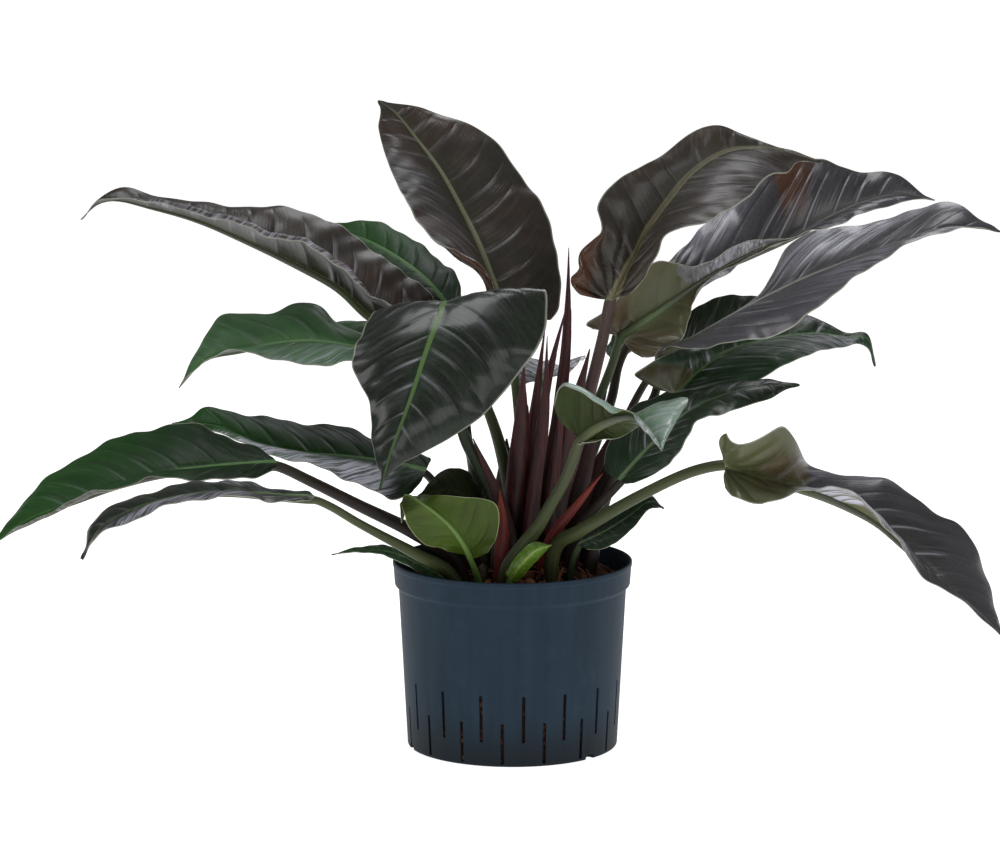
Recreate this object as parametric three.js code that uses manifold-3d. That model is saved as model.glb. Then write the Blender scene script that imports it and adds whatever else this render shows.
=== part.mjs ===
// A potted imperial red philodendron: long-stalked leaves in a slotted pot of expanded clay.
// Millimetres, +Z up, the origin at the middle of the pot's flat base, -Y towards the viewer.
import * as THREE from 'three';
import { mergeVertices } from 'three/addons/utils/BufferGeometryUtils.js';
import Module from 'manifold-3d';

const wasm = await Module();
wasm.setup();

// Pot
const POT_HEIGHT = 196;
const RIM_RADIUS = 125;
const RIM_BAND = 25;
const RIM_STEP = 5;
const RIM_SLOPE = 3;
const SHOULDER = POT_HEIGHT - RIM_BAND - RIM_SLOPE;
const BASE_RADIUS = 110;
const CORNER = 2;
const WALL = 2;
const FLOOR = 3;
const POT_FACETS = 48;
const SLOTS_AROUND = 16;
const SLOT_WIDTH = 3.5;
const SLOT_DEPTH = 20;
const UPPER_SLOT = { from: 26, to: 75, turn: 5.7 };
const LOWER_SLOT = { from: FLOOR, to: 46, turn: -5.5 };
const NOTCH = { width: 13, height: 5, depth: 9, turns: [47, -73, 167] };

// Clay bed
const CLEARANCE = 0.35;
const BED_TOP = 174;
const PEBBLE_GRID = 10.5;
const PEBBLE_RELIEF = 6;
const HIGHEST_PEBBLE = 3;

// Plant
const ROOT_DEPTH = 16;
const BLADE_THICKNESS = 1.3;
const KEEL = 2.4;
const ARCH = 0.07;
const STALK_SIDES = 6;
const STALK_INTO_BLADE = 0.35;
const LARGE_LEAF = { rows: 10, columns: 3, steps: 8 };
const SMALL_LEAF = { rows: 6, columns: 2, steps: 4 };
const SPEAR_STEPS = 7;
const STEM_STEPS = 3;
const STEM_TAPER = 0.6;

// Where the plant is looked at from: a point given as seen lies on that line of sight
const EYE = new THREE.Vector3(-13, -4434, 1100);
const SEEN_FROM_HEIGHT = 6;

const TINTS = {
  bronze: 0x46413c, greyBronze: 0x4c4a4e, green: 0x35492f, darkGreen: 0x263523, paleGreen: 0x55703f,
  yellowGreen: 0x6e8c28, olive: 0x54523a, maroon: 0x5c2e2c, red: 0x86302a, clay: 0x4a2a20,
  pot: 0x333f4a, stem: 0x54523c,
};

function material(tint, roughness) {
  return new THREE.MeshStandardMaterial({ color: TINTS[tint], roughness, metalness: 0 });
}

// A point at [x, z] above the pot's base as seen in the plane of the pot's axis, moved `back` along the sight
function seen([x, z, back]) {
  const reach = 1 - back / EYE.y;
  const height = z + SEEN_FROM_HEIGHT;
  return new THREE.Vector3(EYE.x + reach * (x - EYE.x), back, EYE.z + reach * (height - EYE.z));
}

function toSolid(geometry) {
  const bare = geometry.index ? geometry.toNonIndexed() : geometry.clone();
  bare.deleteAttribute('normal');
  bare.deleteAttribute('uv');
  const merged = mergeVertices(bare, 1e-4);
  return new wasm.Manifold(new wasm.Mesh({
    numProp: 3,
    vertProperties: new Float32Array(merged.attributes.position.array),
    triVerts: new Uint32Array(merged.index.array),
  }));
}

function toMesh(name, solid, finish) {
  const { vertProperties, triVerts } = solid.getMesh();
  const geometry = new THREE.BufferGeometry();
  geometry.setAttribute('position', new THREE.BufferAttribute(new Float32Array(vertProperties), 3));
  geometry.setIndex(new THREE.BufferAttribute(new Uint32Array(triVerts), 1));
  geometry.computeVertexNormals();
  const mesh = new THREE.Mesh(geometry, finish);
  mesh.name = name;
  return mesh;
}

function biggestBody(solid) {
  return solid.decompose().reduce((best, body) => (body.volume() > best.volume() ? body : best));
}

// A closed skin over rings with the same number of points, with a fan over each end
function skin(rings) {
  const sides = rings[0].length;
  const points = rings.flat();
  const faces = [];
  for (let k = 0; k + 1 < rings.length; k += 1) {
    for (let i = 0; i < sides; i += 1) {
      const a = k * sides + i;
      const b = k * sides + ((i + 1) % sides);
      faces.push(a, b, b + sides, a, b + sides, a + sides);
    }
  }
  const last = (rings.length - 1) * sides;
  for (let i = 1; i + 1 < sides; i += 1) {
    faces.push(0, i + 1, i, last, last + i, last + i + 1);
  }
  const geometry = new THREE.BufferGeometry().setFromPoints(points);
  geometry.setIndex(faces);
  return geometry;
}

// Rings across a stalk that runs through the points, from one radius through a second to a third
function stalkRings(points, [atRoot, atMiddle, atEnd], steps, extra = 0) {
  const path = new THREE.CatmullRomCurve3(points, false, 'centripetal');
  const rings = [];
  const away = new THREE.Vector3(0, 1, 0);
  for (let k = 0; k <= steps; k += 1) {
    const t = k / steps;
    const along = k === 0 ? new THREE.Vector3(0, 0, 1) : path.getTangentAt(t);
    const across = new THREE.Vector3().crossVectors(along, away).normalize();
    const outward = new THREE.Vector3().crossVectors(across, along).normalize();
    const radius = t < 0.5
      ? THREE.MathUtils.lerp(atRoot, atMiddle, 2 * t)
      : THREE.MathUtils.lerp(atMiddle, atEnd, 2 * t - 1);
    const centre = path.getPointAt(t);
    rings.push(Array.from({ length: STALK_SIDES }, (_, i) => {
      const turn = (2 * Math.PI * i) / STALK_SIDES;
      return centre.clone()
        .addScaledVector(across, (radius + extra) * Math.cos(turn))
        .addScaledVector(outward, -(radius + extra) * Math.sin(turn));
    }));
  }
  return rings;
}

function rootPoint([x, y]) {
  return new THREE.Vector3(x, y, BED_TOP - ROOT_DEPTH);
}

// The hole that a stalk stands in, from a little under its root up to clear of the pebbles
function rootHole(wide) {
  const clear = wide.findIndex((ring) => ring.every((point) => point.z > BED_TOP + HIGHEST_PEBBLE + 1));
  const lowest = wide[0].map((point) => point.clone().setZ(point.z - CLEARANCE));
  return toSolid(skin([lowest, ...wide.slice(1, clear + 1)]));
}

// A blade between two margins and a midrib: rows run along it, columns across it
function bladeGrid(stations, tip, rows, columns) {
  const end = seen(tip);
  const rails = [0, 1, 2].map((rail) => {
    const points = stations.map((station) => seen(station[rail]));
    const side = points.at(-1).clone().sub(seen(stations.at(-1)[1])).normalize();
    points.push(end.clone().add(side));
    return new THREE.CatmullRomCurve3(points, false, 'centripetal');
  });
  const grid = [];
  for (let r = 0; r <= rows; r += 1) {
    const [left, middle, right] = rails.map((rail) => rail.getPoint(r / rows));
    const ahead = rails[1].getTangent(r / rows);
    const row = [];
    for (let c = -columns; c <= columns; c += 1) {
      const share = Math.abs(c) / columns;
      const margin = c < 0 ? left : right;
      const half = margin.clone().sub(middle);
      const upper = new THREE.Vector3().crossVectors(half, ahead).normalize();
      if (c < 0) {
        upper.negate();
      }
      const rise = 4 * ARCH * share * (1 - share) * half.length();
      row.push(middle.clone().addScaledVector(half, share).addScaledVector(upper, rise));
    }
    grid.push(row);
  }
  return grid;
}

function gridNormals(grid) {
  const at = (list, k) => list[Math.min(Math.max(k, 0), list.length - 1)];
  return grid.map((row, r) => row.map((_, c) => {
    const along = at(grid, r + 1)[c].clone().sub(at(grid, r - 1)[c]);
    const across = at(row, c + 1).clone().sub(at(row, c - 1));
    return new THREE.Vector3().crossVectors(across, along).normalize();
  }));
}

// A sheet with an upper and an under face, split into the same triangles, and a closed edge all round
function sheet(upper, under, width, leansRight) {
  const rows = upper.length / width - 1;
  const below = upper.length;
  const faces = [];
  for (let r = 0; r < rows; r += 1) {
    for (let c = 0; c + 1 < width; c += 1) {
      const a = r * width + c;
      const [b, d, e] = [a + 1, a + width, a + width + 1];
      const pair = leansRight(r, c) ? [[a, b, e], [a, e, d]] : [[a, b, d], [b, e, d]];
      pair.forEach(([i, j, k]) => faces.push(i, j, k, below + i, below + k, below + j));
    }
  }
  const wall = (i, j) => faces.push(j, i, below + i, j, below + i, below + j);
  for (let c = 0; c + 1 < width; c += 1) {
    wall(c, c + 1);
    wall(rows * width + c + 1, rows * width + c);
  }
  for (let r = 0; r < rows; r += 1) {
    wall((r + 1) * width, r * width);
    wall((r + 1) * width - 1, (r + 2) * width - 1);
  }
  const geometry = new THREE.BufferGeometry().setFromPoints([...upper, ...under]);
  geometry.setIndex(faces);
  return toSolid(geometry);
}

// The blade's solid, with a keel under its midrib
function blade(stations, tip, rows, columns) {
  const grid = bladeGrid(stations, tip, rows, columns);
  const normals = gridNormals(grid);
  const upper = [];
  const under = [];
  grid.forEach((row, r) => row.forEach((point, c) => {
    const ridge = c === columns ? KEEL * (1 - r / rows) : 0;
    upper.push(point.clone().addScaledVector(normals[r][c], BLADE_THICKNESS / 2));
    under.push(point.clone().addScaledVector(normals[r][c], -BLADE_THICKNESS / 2 - ridge));
  }));
  return sheet(upper, under, 2 * columns + 1, (_, c) => c >= columns);
}

// The leaves, each as it is seen from the front.
// A station of a blade holds its left margin, its midrib and its right margin, each at [x, z, back].
const LEAVES = {
  leaf_top_centre: {
    tint: 'bronze', root: [8, 26], radii: [7, 5.5, 4.5],
    stalk: [[10, 236, 24], [9, 300, 26], [6, 350, 29], [-2, 410, 35]],
    stations: [
      [[-30, 455, 22], [-12, 458, 42], [34, 436, 48]],
      [[-27, 484, 8], [-20, 480, 52], [49, 457, 60]],
      [[-58, 510, 20], [-33, 515, 70], [47, 498, 80]],
      [[-90, 548, 50], [-50, 552, 95], [38, 545, 105]],
      [[-115, 576, 80], [-75, 598, 120], [8, 594, 132]],
      [[-128, 605, 110], [-100, 632, 140], [-32, 639, 152]],
      [[-138, 642, 138], [-121, 658, 150], [-90, 661, 160]],
    ],
    tip: [-138, 670, 148],
  },
  leaf_front_left: {
    tint: 'greyBronze', root: [-12, -20], radii: [7, 6, 5],
    stalk: [[-12, 225, -22], [-20, 260, -24], [-35, 290, -26], [-50, 320, -28], [-62, 380, -28]],
    stations: [
      [[5, 448, -8], [-62, 436, -32], [-115, 436, -18]],
      [[33, 472, -50], [-69, 461, -62], [-145, 450, -55]],
      [[34, 432, -85], [-79, 438, -95], [-158, 422, -88]],
      [[8, 388, -112], [-92, 402, -122], [-167, 395, -112]],
      [[-32, 342, -140], [-104, 365, -148], [-149, 358, -138]],
      [[-84, 307, -165], [-116, 332, -172], [-147, 322, -166]],
      [[-118, 290, -184], [-129, 296, -190], [-141, 292, -186]],
    ],
    tip: [-138, 263, -198],
  },
  leaf_long_left: {
    tint: 'bronze', root: [-10, 40], radii: [7, 6, 4.5],
    stalk: [[0, 230, 40], [-8, 290, 42], [-25, 347, 46], [-52, 400, 52]],
    stations: [
      [[-100, 446, 50], [-92, 432, 66], [-74, 450, 92]],
      [[-135, 462, 42], [-142, 444, 74], [-95, 480, 112]],
      [[-165, 490, 38], [-180, 477, 84], [-128, 502, 130]],
      [[-200, 520, 40], [-222, 500, 92], [-160, 528, 145]],
      [[-250, 535, 52], [-275, 525, 100], [-212, 555, 152]],
      [[-302, 553, 68], [-325, 546, 106], [-280, 561, 150]],
      [[-360, 566, 86], [-372, 559, 110], [-345, 567, 140]],
      [[-408, 570, 104], [-410, 567, 114], [-402, 580, 130]],
    ],
    tip: [-445, 547, 112],
  },
  leaf_back_left: {
    tint: 'green', root: [-24, 58], radii: [6, 5, 4],
    stalk: [[-24, 240, 64], [-36, 282, 70], [-46, 313, 77], [-50, 365, 92]],
    stations: [
      [[-90, 440, 110], [-62, 450, 122], [-48, 455, 150]],
      [[-112, 462, 128], [-85, 480, 152], [-58, 487, 182]],
      [[-140, 484, 165], [-115, 505, 192], [-88, 515, 228]],
      [[-168, 506, 205], [-150, 525, 232], [-132, 542, 262]],
      [[-190, 526, 240], [-182, 536, 254], [-174, 545, 268]],
    ],
    tip: [-200, 538, 270],
  },
  leaf_mid_left: {
    tint: 'green', root: [-44, 22], radii: [6.5, 5.5, 4.5],
    stalk: [[-38, 240, 21], [-40, 285, 20], [-48, 318, 20], [-74, 355, 20]],
    stations: [
      [[-112, 385, 8], [-115, 400, 26], [-105, 425, 58]],
      [[-165, 400, -12], [-165, 414, 32], [-162, 430, 80]],
      [[-207, 394, -16], [-210, 420, 42], [-208, 459, 95]],
      [[-250, 403, 2], [-248, 417, 48], [-255, 450, 102]],
      [[-290, 410, 24], [-284, 409, 53], [-302, 445, 98]],
      [[-320, 399, 46], [-318, 400, 58], [-325, 415, 80]],
    ],
    tip: [-346, 371, 60],
  },
  leaf_low_left: {
    tint: 'green', root: [-48, -28], radii: [7.5, 6.5, 5.5],
    stalk: [[-60, 190, -33], [-100, 217, -48], [-160, 247, -62], [-205, 270, -72]],
    stations: [
      [[-246, 284, -94], [-246, 293, -80], [-252, 300, -66]],
      [[-268, 278, -122], [-275, 291, -86], [-285, 314, -46]],
      [[-315, 273, -146], [-320, 287, -92], [-326, 332, -30]],
      [[-365, 277, -158], [-365, 281, -102], [-377, 328, -30]],
      [[-412, 264, -162], [-414, 267, -112], [-427, 311, -44]],
      [[-458, 246, -162], [-460, 249, -126], [-480, 279, -70]],
      [[-500, 225, -155], [-503, 233, -138], [-515, 245, -105]],
    ],
    tip: [-548, 203, -150],
  },
  leaf_inner_left: {
    tint: 'green', root: [-52, 0], radii: [6, 5, 4.5],
    stalk: [[-60, 220, 0], [-72, 255, 2]],
    stations: [
      [[-98, 264, -22], [-90, 284, 5], [-82, 300, 35]],
      [[-125, 254, -46], [-122, 292, 6], [-115, 305, 56]],
      [[-165, 272, -56], [-168, 298, 8], [-162, 326, 70]],
      [[-212, 291, -52], [-222, 303, 12], [-222, 335, 72]],
      [[-262, 304, -34], [-270, 314, 18], [-272, 342, 64]],
      [[-303, 324, -4], [-308, 331, 25], [-315, 350, 48]],
    ],
    tip: [-354, 334, 30],
  },
  leaf_narrow_left: {
    tint: 'greyBronze', root: [-50, -58], radii: [7, 6.5, 5.5],
    stalk: [[-65, 174, -64], [-100, 195, -86], [-160, 228, -136], [-190, 246, -166]],
    stations: [
      [[-212, 250, -198], [-206, 256, -184], [-214, 262, -172]],
      [[-240, 251, -222], [-245, 258, -191], [-255, 266, -164]],
      [[-290, 256, -240], [-295, 261, -196], [-300, 274, -160]],
      [[-345, 251, -244], [-345, 257, -202], [-350, 268, -163]],
      [[-392, 233, -240], [-395, 243, -207], [-398, 254, -174]],
      [[-430, 216, -230], [-430, 223, -212], [-440, 228, -192]],
    ],
    tip: [-450, 190, -212],
  },
  leaf_small_left: {
    tint: 'green', root: [-64, -42], radii: [3.5, 3, 2.5], small: true,
    stalk: [[-64, 162, -43]],
    stations: [
      [[-70, 163, -50], [-68, 169, -46], [-66, 175, -42]],
      [[-94, 174, -58], [-94, 182, -51], [-95, 191, -44]],
      [[-124, 190, -64], [-124, 196, -57], [-124, 203, -50]],
      [[-150, 197, -68], [-152, 199, -63], [-154, 204, -57]],
    ],
    tip: [-189, 195, -66],
  },
  leaf_pale_front: {
    tint: 'paleGreen', root: [-32, -64], radii: [4.5, 4, 3], small: true,
    stalk: [[-36, 168, -68]],
    stations: [
      [[-30, 193, -72], [-43, 190, -78], [-53, 195, -72]],
      [[-17, 212, -76], [-52, 207, -90], [-72, 201, -88]],
      [[-17, 248, -82], [-65, 225, -100], [-92, 206, -100]],
      [[-50, 256, -92], [-80, 239, -108], [-108, 224, -108]],
      [[-78, 258, -100], [-94, 249, -112], [-113, 238, -114]],
      [[-98, 256, -90], [-112, 258, -96], [-117, 250, -104]],
    ],
    tip: [-116, 229, -86],
  },
  leaf_small_dark: {
    tint: 'darkGreen', root: [-28, -4], radii: [4, 3.5, 3], small: true,
    stalk: [[-27, 200, -8]],
    stations: [
      [[-36, 235, -30], [-31, 245, -15], [-33, 264, -2]],
      [[-54, 236, -45], [-52, 260, -25], [-50, 285, -6]],
      [[-74, 242, -50], [-72, 264, -33], [-72, 284, -16]],
    ],
    tip: [-99, 257, -46],
  },
  leaf_new_front: {
    tint: 'yellowGreen', root: [-4, -84], radii: [4.5, 4, 3.5], small: true,
    stalk: [[-3, 166, -85]],
    stations: [
      [[-8, 174, -86], [-2, 170, -88], [3, 164, -86]],
      [[4, 192, -90], [11, 186, -96], [16, 178, -90]],
      [[20, 207, -94], [26, 200, -100], [28, 192, -94]],
    ],
    tip: [41, 205, -98],
  },
  leaf_pale_right: {
    tint: 'paleGreen', root: [-8, -60], radii: [7, 6.5, 5.5],
    stalk: [[-5, 178, -62], [10, 203, -67], [25, 222, -73], [40, 248, -82], [55, 275, -92]],
    stations: [
      [[62, 313, -112], [74, 314, -105], [38, 340, -90]],
      [[90, 315, -124], [88, 327, -115], [54, 377, -94]],
      [[116, 321, -130], [104, 337, -128], [86, 362, -120]],
      [[132, 333, -128], [118, 343, -142], [108, 350, -152]],
      [[150, 354, -132], [130, 340, -160], [124, 344, -178]],
      [[181, 361, -140], [143, 327, -182], [137, 326, -200]],
      [[170, 336, -180], [152, 314, -200], [149, 313, -208]],
    ],
    tip: [155, 305, -214],
  },
  leaf_top_right: {
    tint: 'bronze', root: [42, 6], radii: [8.5, 7.5, 6],
    stalk: [[45, 240, 2], [60, 300, -4], [75, 370, -11], [92, 425, -18]],
    stations: [
      [[72, 468, -40], [103, 463, -22], [118, 468, -32]],
      [[62, 482, -50], [113, 482, -22], [134, 484, -48]],
      [[73, 514, -46], [124, 503, -18], [148, 507, -58]],
      [[91, 542, -30], [138, 532, -8], [162, 534, -58]],
      [[98, 577, -10], [158, 563, 6], [208, 548, -46]],
      [[145, 608, 16], [186, 597, 20], [243, 571, -26]],
      [[198, 643, 36], [222, 618, 26], [264, 592, -8]],
      [[248, 632, 36], [262, 621, 22], [293, 598, 6]],
    ],
    tip: [317, 607, 12],
  },
  leaf_far_right: {
    tint: 'bronze', root: [44, 52], radii: [6.5, 5.5, 4.5],
    stalk: [[60, 240, 54], [85, 310, 58], [103, 360, 62], [110, 395, 66], [119, 415, 70]],
    stations: [
      [[150, 488, 104], [150, 462, 84], [168, 456, 66]],
      [[184, 528, 128], [196, 490, 98], [212, 478, 70]],
      [[226, 564, 150], [246, 510, 112], [262, 502, 78]],
      [[270, 586, 160], [293, 530, 124], [302, 518, 86]],
      [[314, 604, 165], [330, 551, 134], [340, 538, 100]],
      [[352, 598, 165], [365, 566, 142], [366, 555, 114]],
      [[396, 593, 160], [400, 573, 148], [402, 565, 132]],
    ],
    tip: [435, 567, 150],
  },
  leaf_olive_right: {
    tint: 'olive', root: [50, 30], radii: [6.5, 5.5, 4.5],
    stalk: [[54, 240, 28], [70, 300, 27], [90, 360, 25], [103, 395, 24]],
    stations: [
      [[128, 404, 14], [112, 425, 22], [88, 432, 14]],
      [[150, 404, 10], [128, 436, 30], [76, 438, 4]],
      [[172, 420, 16], [150, 451, 38], [108, 462, 12]],
      [[184, 445, 26], [171, 466, 45], [150, 504, 28]],
      [[190, 472, 38], [204, 488, 50], [190, 498, 42]],
      [[234, 503, 50], [240, 509, 56], [230, 520, 50]],
      [[264, 517, 54], [266, 521, 58], [262, 527, 54]],
    ],
    tip: [294, 529, 60],
  },
  leaf_long_right: {
    tint: 'greyBronze', root: [66, 6], radii: [6, 5.5, 4.5],
    stalk: [[86, 240, 6], [112, 305, 10], [134, 341, 8], [147, 362, 4]],
    stations: [
      [[152, 390, 10], [149, 387, 4], [151, 384, 2]],
      [[153, 412, -22], [152, 410, -28], [157, 411, -38]],
      [[189, 423, -28], [185, 424, -45], [190, 413, -80]],
      [[232, 444, -35], [225, 447, -62], [235, 420, -112]],
      [[260, 473, -28], [262, 467, -74], [283, 431, -134]],
      [[294, 529, -34], [305, 487, -85], [325, 464, -145]],
      [[345, 539, -45], [350, 505, -95], [362, 492, -145]],
      [[405, 553, -60], [400, 524, -108], [408, 521, -140]],
      [[458, 567, -88], [450, 539, -118], [462, 538, -130]],
    ],
    tip: [503, 535, -125],
  },
  leaf_behind_right: {
    tint: 'darkGreen', root: [66, 40], radii: [5.5, 5, 4],
    stalk: [[85, 240, 44], [110, 320, 46]],
    stations: [
      [[148, 400, 66], [140, 382, 50], [150, 370, 40]],
      [[168, 434, 86], [172, 408, 66], [190, 388, 48]],
      [[203, 463, 100], [214, 430, 84], [230, 410, 62]],
      [[248, 468, 112], [258, 448, 98], [266, 436, 82]],
    ],
    tip: [298, 456, 112],
  },
  leaf_mid_right: {
    tint: 'green', root: [74, -16], radii: [6.5, 5.5, 4.5],
    stalk: [[92, 240, -16], [115, 302, -14], [134, 336, -13], [153, 358, -12]],
    stations: [
      [[140, 373, -32], [170, 366, -10], [182, 352, -20]],
      [[127, 384, -42], [178, 374, -10], [205, 355, -30]],
      [[145, 399, -40], [192, 388, -8], [232, 366, -36]],
      [[198, 418, 4], [222, 409, -2], [265, 385, -36]],
      [[255, 440, 25], [270, 423, 0], [303, 405, -30]],
      [[305, 446, 20], [318, 428, 0], [335, 413, -22]],
      [[343, 431, 8], [348, 424, -4], [355, 417, -16]],
      [[366, 428, 0], [367, 423, -6], [364, 415, -12]],
    ],
    tip: [376, 394, -10],
  },
  leaf_inner_right: {
    tint: 'green', root: [54, -24], radii: [6, 5.5, 4.5],
    stalk: [[72, 225, -46], [94, 252, -62]],
    stations: [
      [[92, 284, -58], [112, 274, -74], [120, 267, -86]],
      [[100, 312, -48], [128, 293, -78], [150, 282, -104]],
      [[126, 353, -42], [152, 318, -80], [172, 300, -118]],
      [[172, 366, -44], [186, 348, -82], [190, 334, -120]],
      [[226, 376, -48], [232, 368, -84], [224, 346, -116]],
      [[260, 381, -62], [266, 374, -84], [262, 358, -102]],
    ],
    tip: [298, 374, -88],
  },
  leaf_low_right: {
    tint: 'greyBronze', root: [38, -52], radii: [6.5, 6, 5.5],
    stalk: [[46, 204, -64], [70, 220, -80], [130, 256, -110], [190, 284, -136]],
    stations: [
      [[218, 321, -166], [222, 288, -150], [219, 271, -166]],
      [[245, 308, -192], [245, 281, -158], [232, 255, -196]],
      [[284, 323, -190], [278, 272, -165], [268, 251, -210]],
      [[310, 285, -140], [312, 263, -172], [306, 262, -212]],
      [[345, 281, -115], [345, 249, -180], [338, 268, -230]],
      [[390, 275, -110], [380, 229, -190], [370, 246, -240]],
      [[440, 243, -125], [412, 200, -200], [400, 212, -245]],
      [[478, 212, -145], [440, 174, -205], [425, 176, -245]],
      [[503, 152, -175], [480, 141, -215], [468, 146, -240]],
    ],
    tip: [524, 98, -235],
  },
  leaf_small_right: {
    tint: 'darkGreen', root: [58, -46], radii: [4.5, 4, 3], small: true,
    stalk: [[62, 185, -50]],
    stations: [
      [[74, 216, -52], [69, 206, -58], [74, 200, -66]],
      [[97, 233, -50], [98, 220, -64], [98, 202, -78]],
      [[122, 248, -52], [124, 237, -66], [124, 221, -78]],
      [[143, 258, -60], [144, 251, -66], [143, 243, -72]],
    ],
    tip: [158, 244, -66],
  },
  leaf_edge_back: {
    tint: 'greyBronze', root: [16, 84], radii: [6, 5, 4],
    stalk: [[18, 240, 92], [24, 320, 106]],
    stations: [
      [[4, 372, 140], [28, 378, 122], [54, 382, 140]],
      [[8, 396, 190], [38, 386, 180], [72, 402, 190]],
      [[14, 400, 260], [44, 389, 260], [75, 403, 265]],
      [[30, 400, 330], [48, 392, 330], [66, 400, 330]],
    ],
    tip: [52, 394, 390],
  },
  leaf_rear_left: {
    tint: 'green', root: [-38, 72], radii: [6, 5, 4],
    stalk: [[-34, 240, 86], [-38, 285, 92], [-48, 318, 100], [-62, 360, 114]],
    stations: [
      [[-105, 393, 112], [-90, 400, 130], [-75, 402, 152]],
      [[-165, 412, 155], [-140, 420, 210], [-95, 430, 250]],
      [[-225, 415, 232], [-200, 427, 285], [-155, 440, 330]],
      [[-265, 415, 310], [-250, 424, 340], [-225, 436, 370]],
    ],
    tip: [-286, 416, 385],
  },
  leaf_rear_centre: {
    tint: 'green', root: [-4, 68], radii: [6, 5, 4],
    stalk: [[-2, 240, 80], [-9, 295, 98], [-17, 325, 114], [-25, 352, 130]],
    stations: [
      [[-45, 372, 164], [-30, 380, 150], [-12, 374, 164]],
      [[-100, 405, 218], [-45, 415, 220], [-2, 408, 222]],
      [[-110, 430, 290], [-52, 432, 300], [-2, 432, 290]],
      [[-85, 440, 350], [-55, 438, 360], [-22, 440, 350]],
    ],
    tip: [-55, 432, 410],
  },
  leaf_rear_right: {
    tint: 'green', root: [36, 76], radii: [6, 5, 4],
    stalk: [[54, 240, 84], [71, 300, 92], [89, 360, 106]],
    stations: [
      [[94, 408, 142], [104, 400, 122], [118, 404, 104]],
      [[122, 462, 232], [142, 446, 205], [168, 454, 172]],
      [[160, 500, 305], [176, 484, 290], [190, 487, 250]],
      [[196, 517, 350], [206, 506, 340], [218, 509, 320]],
    ],
    tip: [240, 520, 385],
  },
};

// Rolled young leaves and the red sheaths that they grow out of, from the root to the tip
const SPEARS = {
  spear_tall: {
    tint: 'maroon', root: [24, -4], radii: [5, 4.5, 0.8],
    stalk: [[28, 240, 2], [42, 310, 2], [53, 390, 1], [57, 450, 0], [58, 518, 0]],
  },
  spear_thin: {
    tint: 'maroon', root: [22, -18], radii: [4, 3, 0.8],
    stalk: [[20, 240, -17], [28, 320, -16], [38, 385, -16], [57, 461, -15]],
  },
  spear_middle: {
    tint: 'maroon', root: [14, 8], radii: [4.5, 4, 0.8],
    stalk: [[14, 240, 8], [18, 310, 8], [25, 365, 8], [34, 437, 8]],
  },
  spear_front: {
    tint: 'maroon', root: [10, -32], radii: [4.5, 4, 0.8],
    stalk: [[20, 240, -32], [33, 340, -32], [36, 426, -33]],
  },
  spear_wide: {
    tint: 'maroon', root: [-8, 2], radii: [6, 8.5, 0.8],
    stalk: [[0, 240, -4], [8, 318, -9], [12, 396, -12]],
  },
  spear_right: {
    tint: 'maroon', root: [34, -18], radii: [4.5, 4.5, 1],
    stalk: [[38, 240, -20], [48, 320, -24], [50, 372, -26]],
  },
  sheath_red: {
    tint: 'red', root: [-14, -40], radii: [6, 6, 1],
    stalk: [[-11, 215, -42], [-13, 264, -44]],
  },
  sheath_orange: {
    tint: 'red', root: [28, -35], radii: [4, 3.5, 0.8],
    stalk: [[40, 212, -52], [65, 245, -58], [94, 281, -62]],
  },
};

// Short stems at the crown: where each stands, its radius and its height above the clay
const STEMS = {
  stem_left: { root: [-28, 22], radius: 7, height: 26 },
  stem_right: { root: [25, 37], radius: 8, height: 30 },
  stem_front: { root: [-30, -26], radius: 7, height: 22 },
};

function leaf(name, spec, holes) {
  const { rows, columns, steps } = spec.small ? SMALL_LEAF : LARGE_LEAF;
  const [, collar] = spec.stations[0];
  const [, ahead] = spec.stations[1];
  const end = seen(collar).lerp(seen(ahead), STALK_INTO_BLADE);
  const points = [rootPoint(spec.root), ...spec.stalk.map(seen), seen(collar), end];
  const rings = stalkRings(points, spec.radii, steps);
  holes.push(rootHole(stalkRings(points, spec.radii, steps, CLEARANCE)));
  const stalk = toSolid(skin(rings));
  return toMesh(name, stalk.add(blade(spec.stations, spec.tip, rows, columns)), material(spec.tint, 0.35));
}

function spear(name, spec, holes) {
  const points = [rootPoint(spec.root), ...spec.stalk.map(seen)];
  const rings = stalkRings(points, spec.radii, SPEAR_STEPS);
  holes.push(rootHole(stalkRings(points, spec.radii, SPEAR_STEPS, CLEARANCE)));
  return toMesh(name, toSolid(skin(rings)), material(spec.tint, 0.4));
}

function stem(name, spec, holes) {
  const base = rootPoint(spec.root);
  const top = base.clone().setZ(BED_TOP + spec.height);
  const radii = [spec.radius, spec.radius, STEM_TAPER * spec.radius];
  const rings = stalkRings([base, top], radii, STEM_STEPS);
  holes.push(rootHole(stalkRings([base, top], radii, STEM_STEPS, CLEARANCE)));
  return toMesh(name, toSolid(skin(rings)), material('stem', 0.7));
}

function turned(profile) {
  return toSolid(new THREE.LatheGeometry(profile.map(([r, z]) => new THREE.Vector2(r, z)), POT_FACETS)
    .rotateX(Math.PI / 2));
}

function block(width, depth, from, to, radius, turn) {
  const box = new THREE.BoxGeometry(width, depth, to - from);
  box.translate(0, -radius, (from + to) / 2);
  return toSolid(box.rotateZ(THREE.MathUtils.degToRad(turn)));
}

function wallRadius(z) {
  return THREE.MathUtils.lerp(BASE_RADIUS, RIM_RADIUS - RIM_STEP - 1, z / SHOULDER);
}

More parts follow.
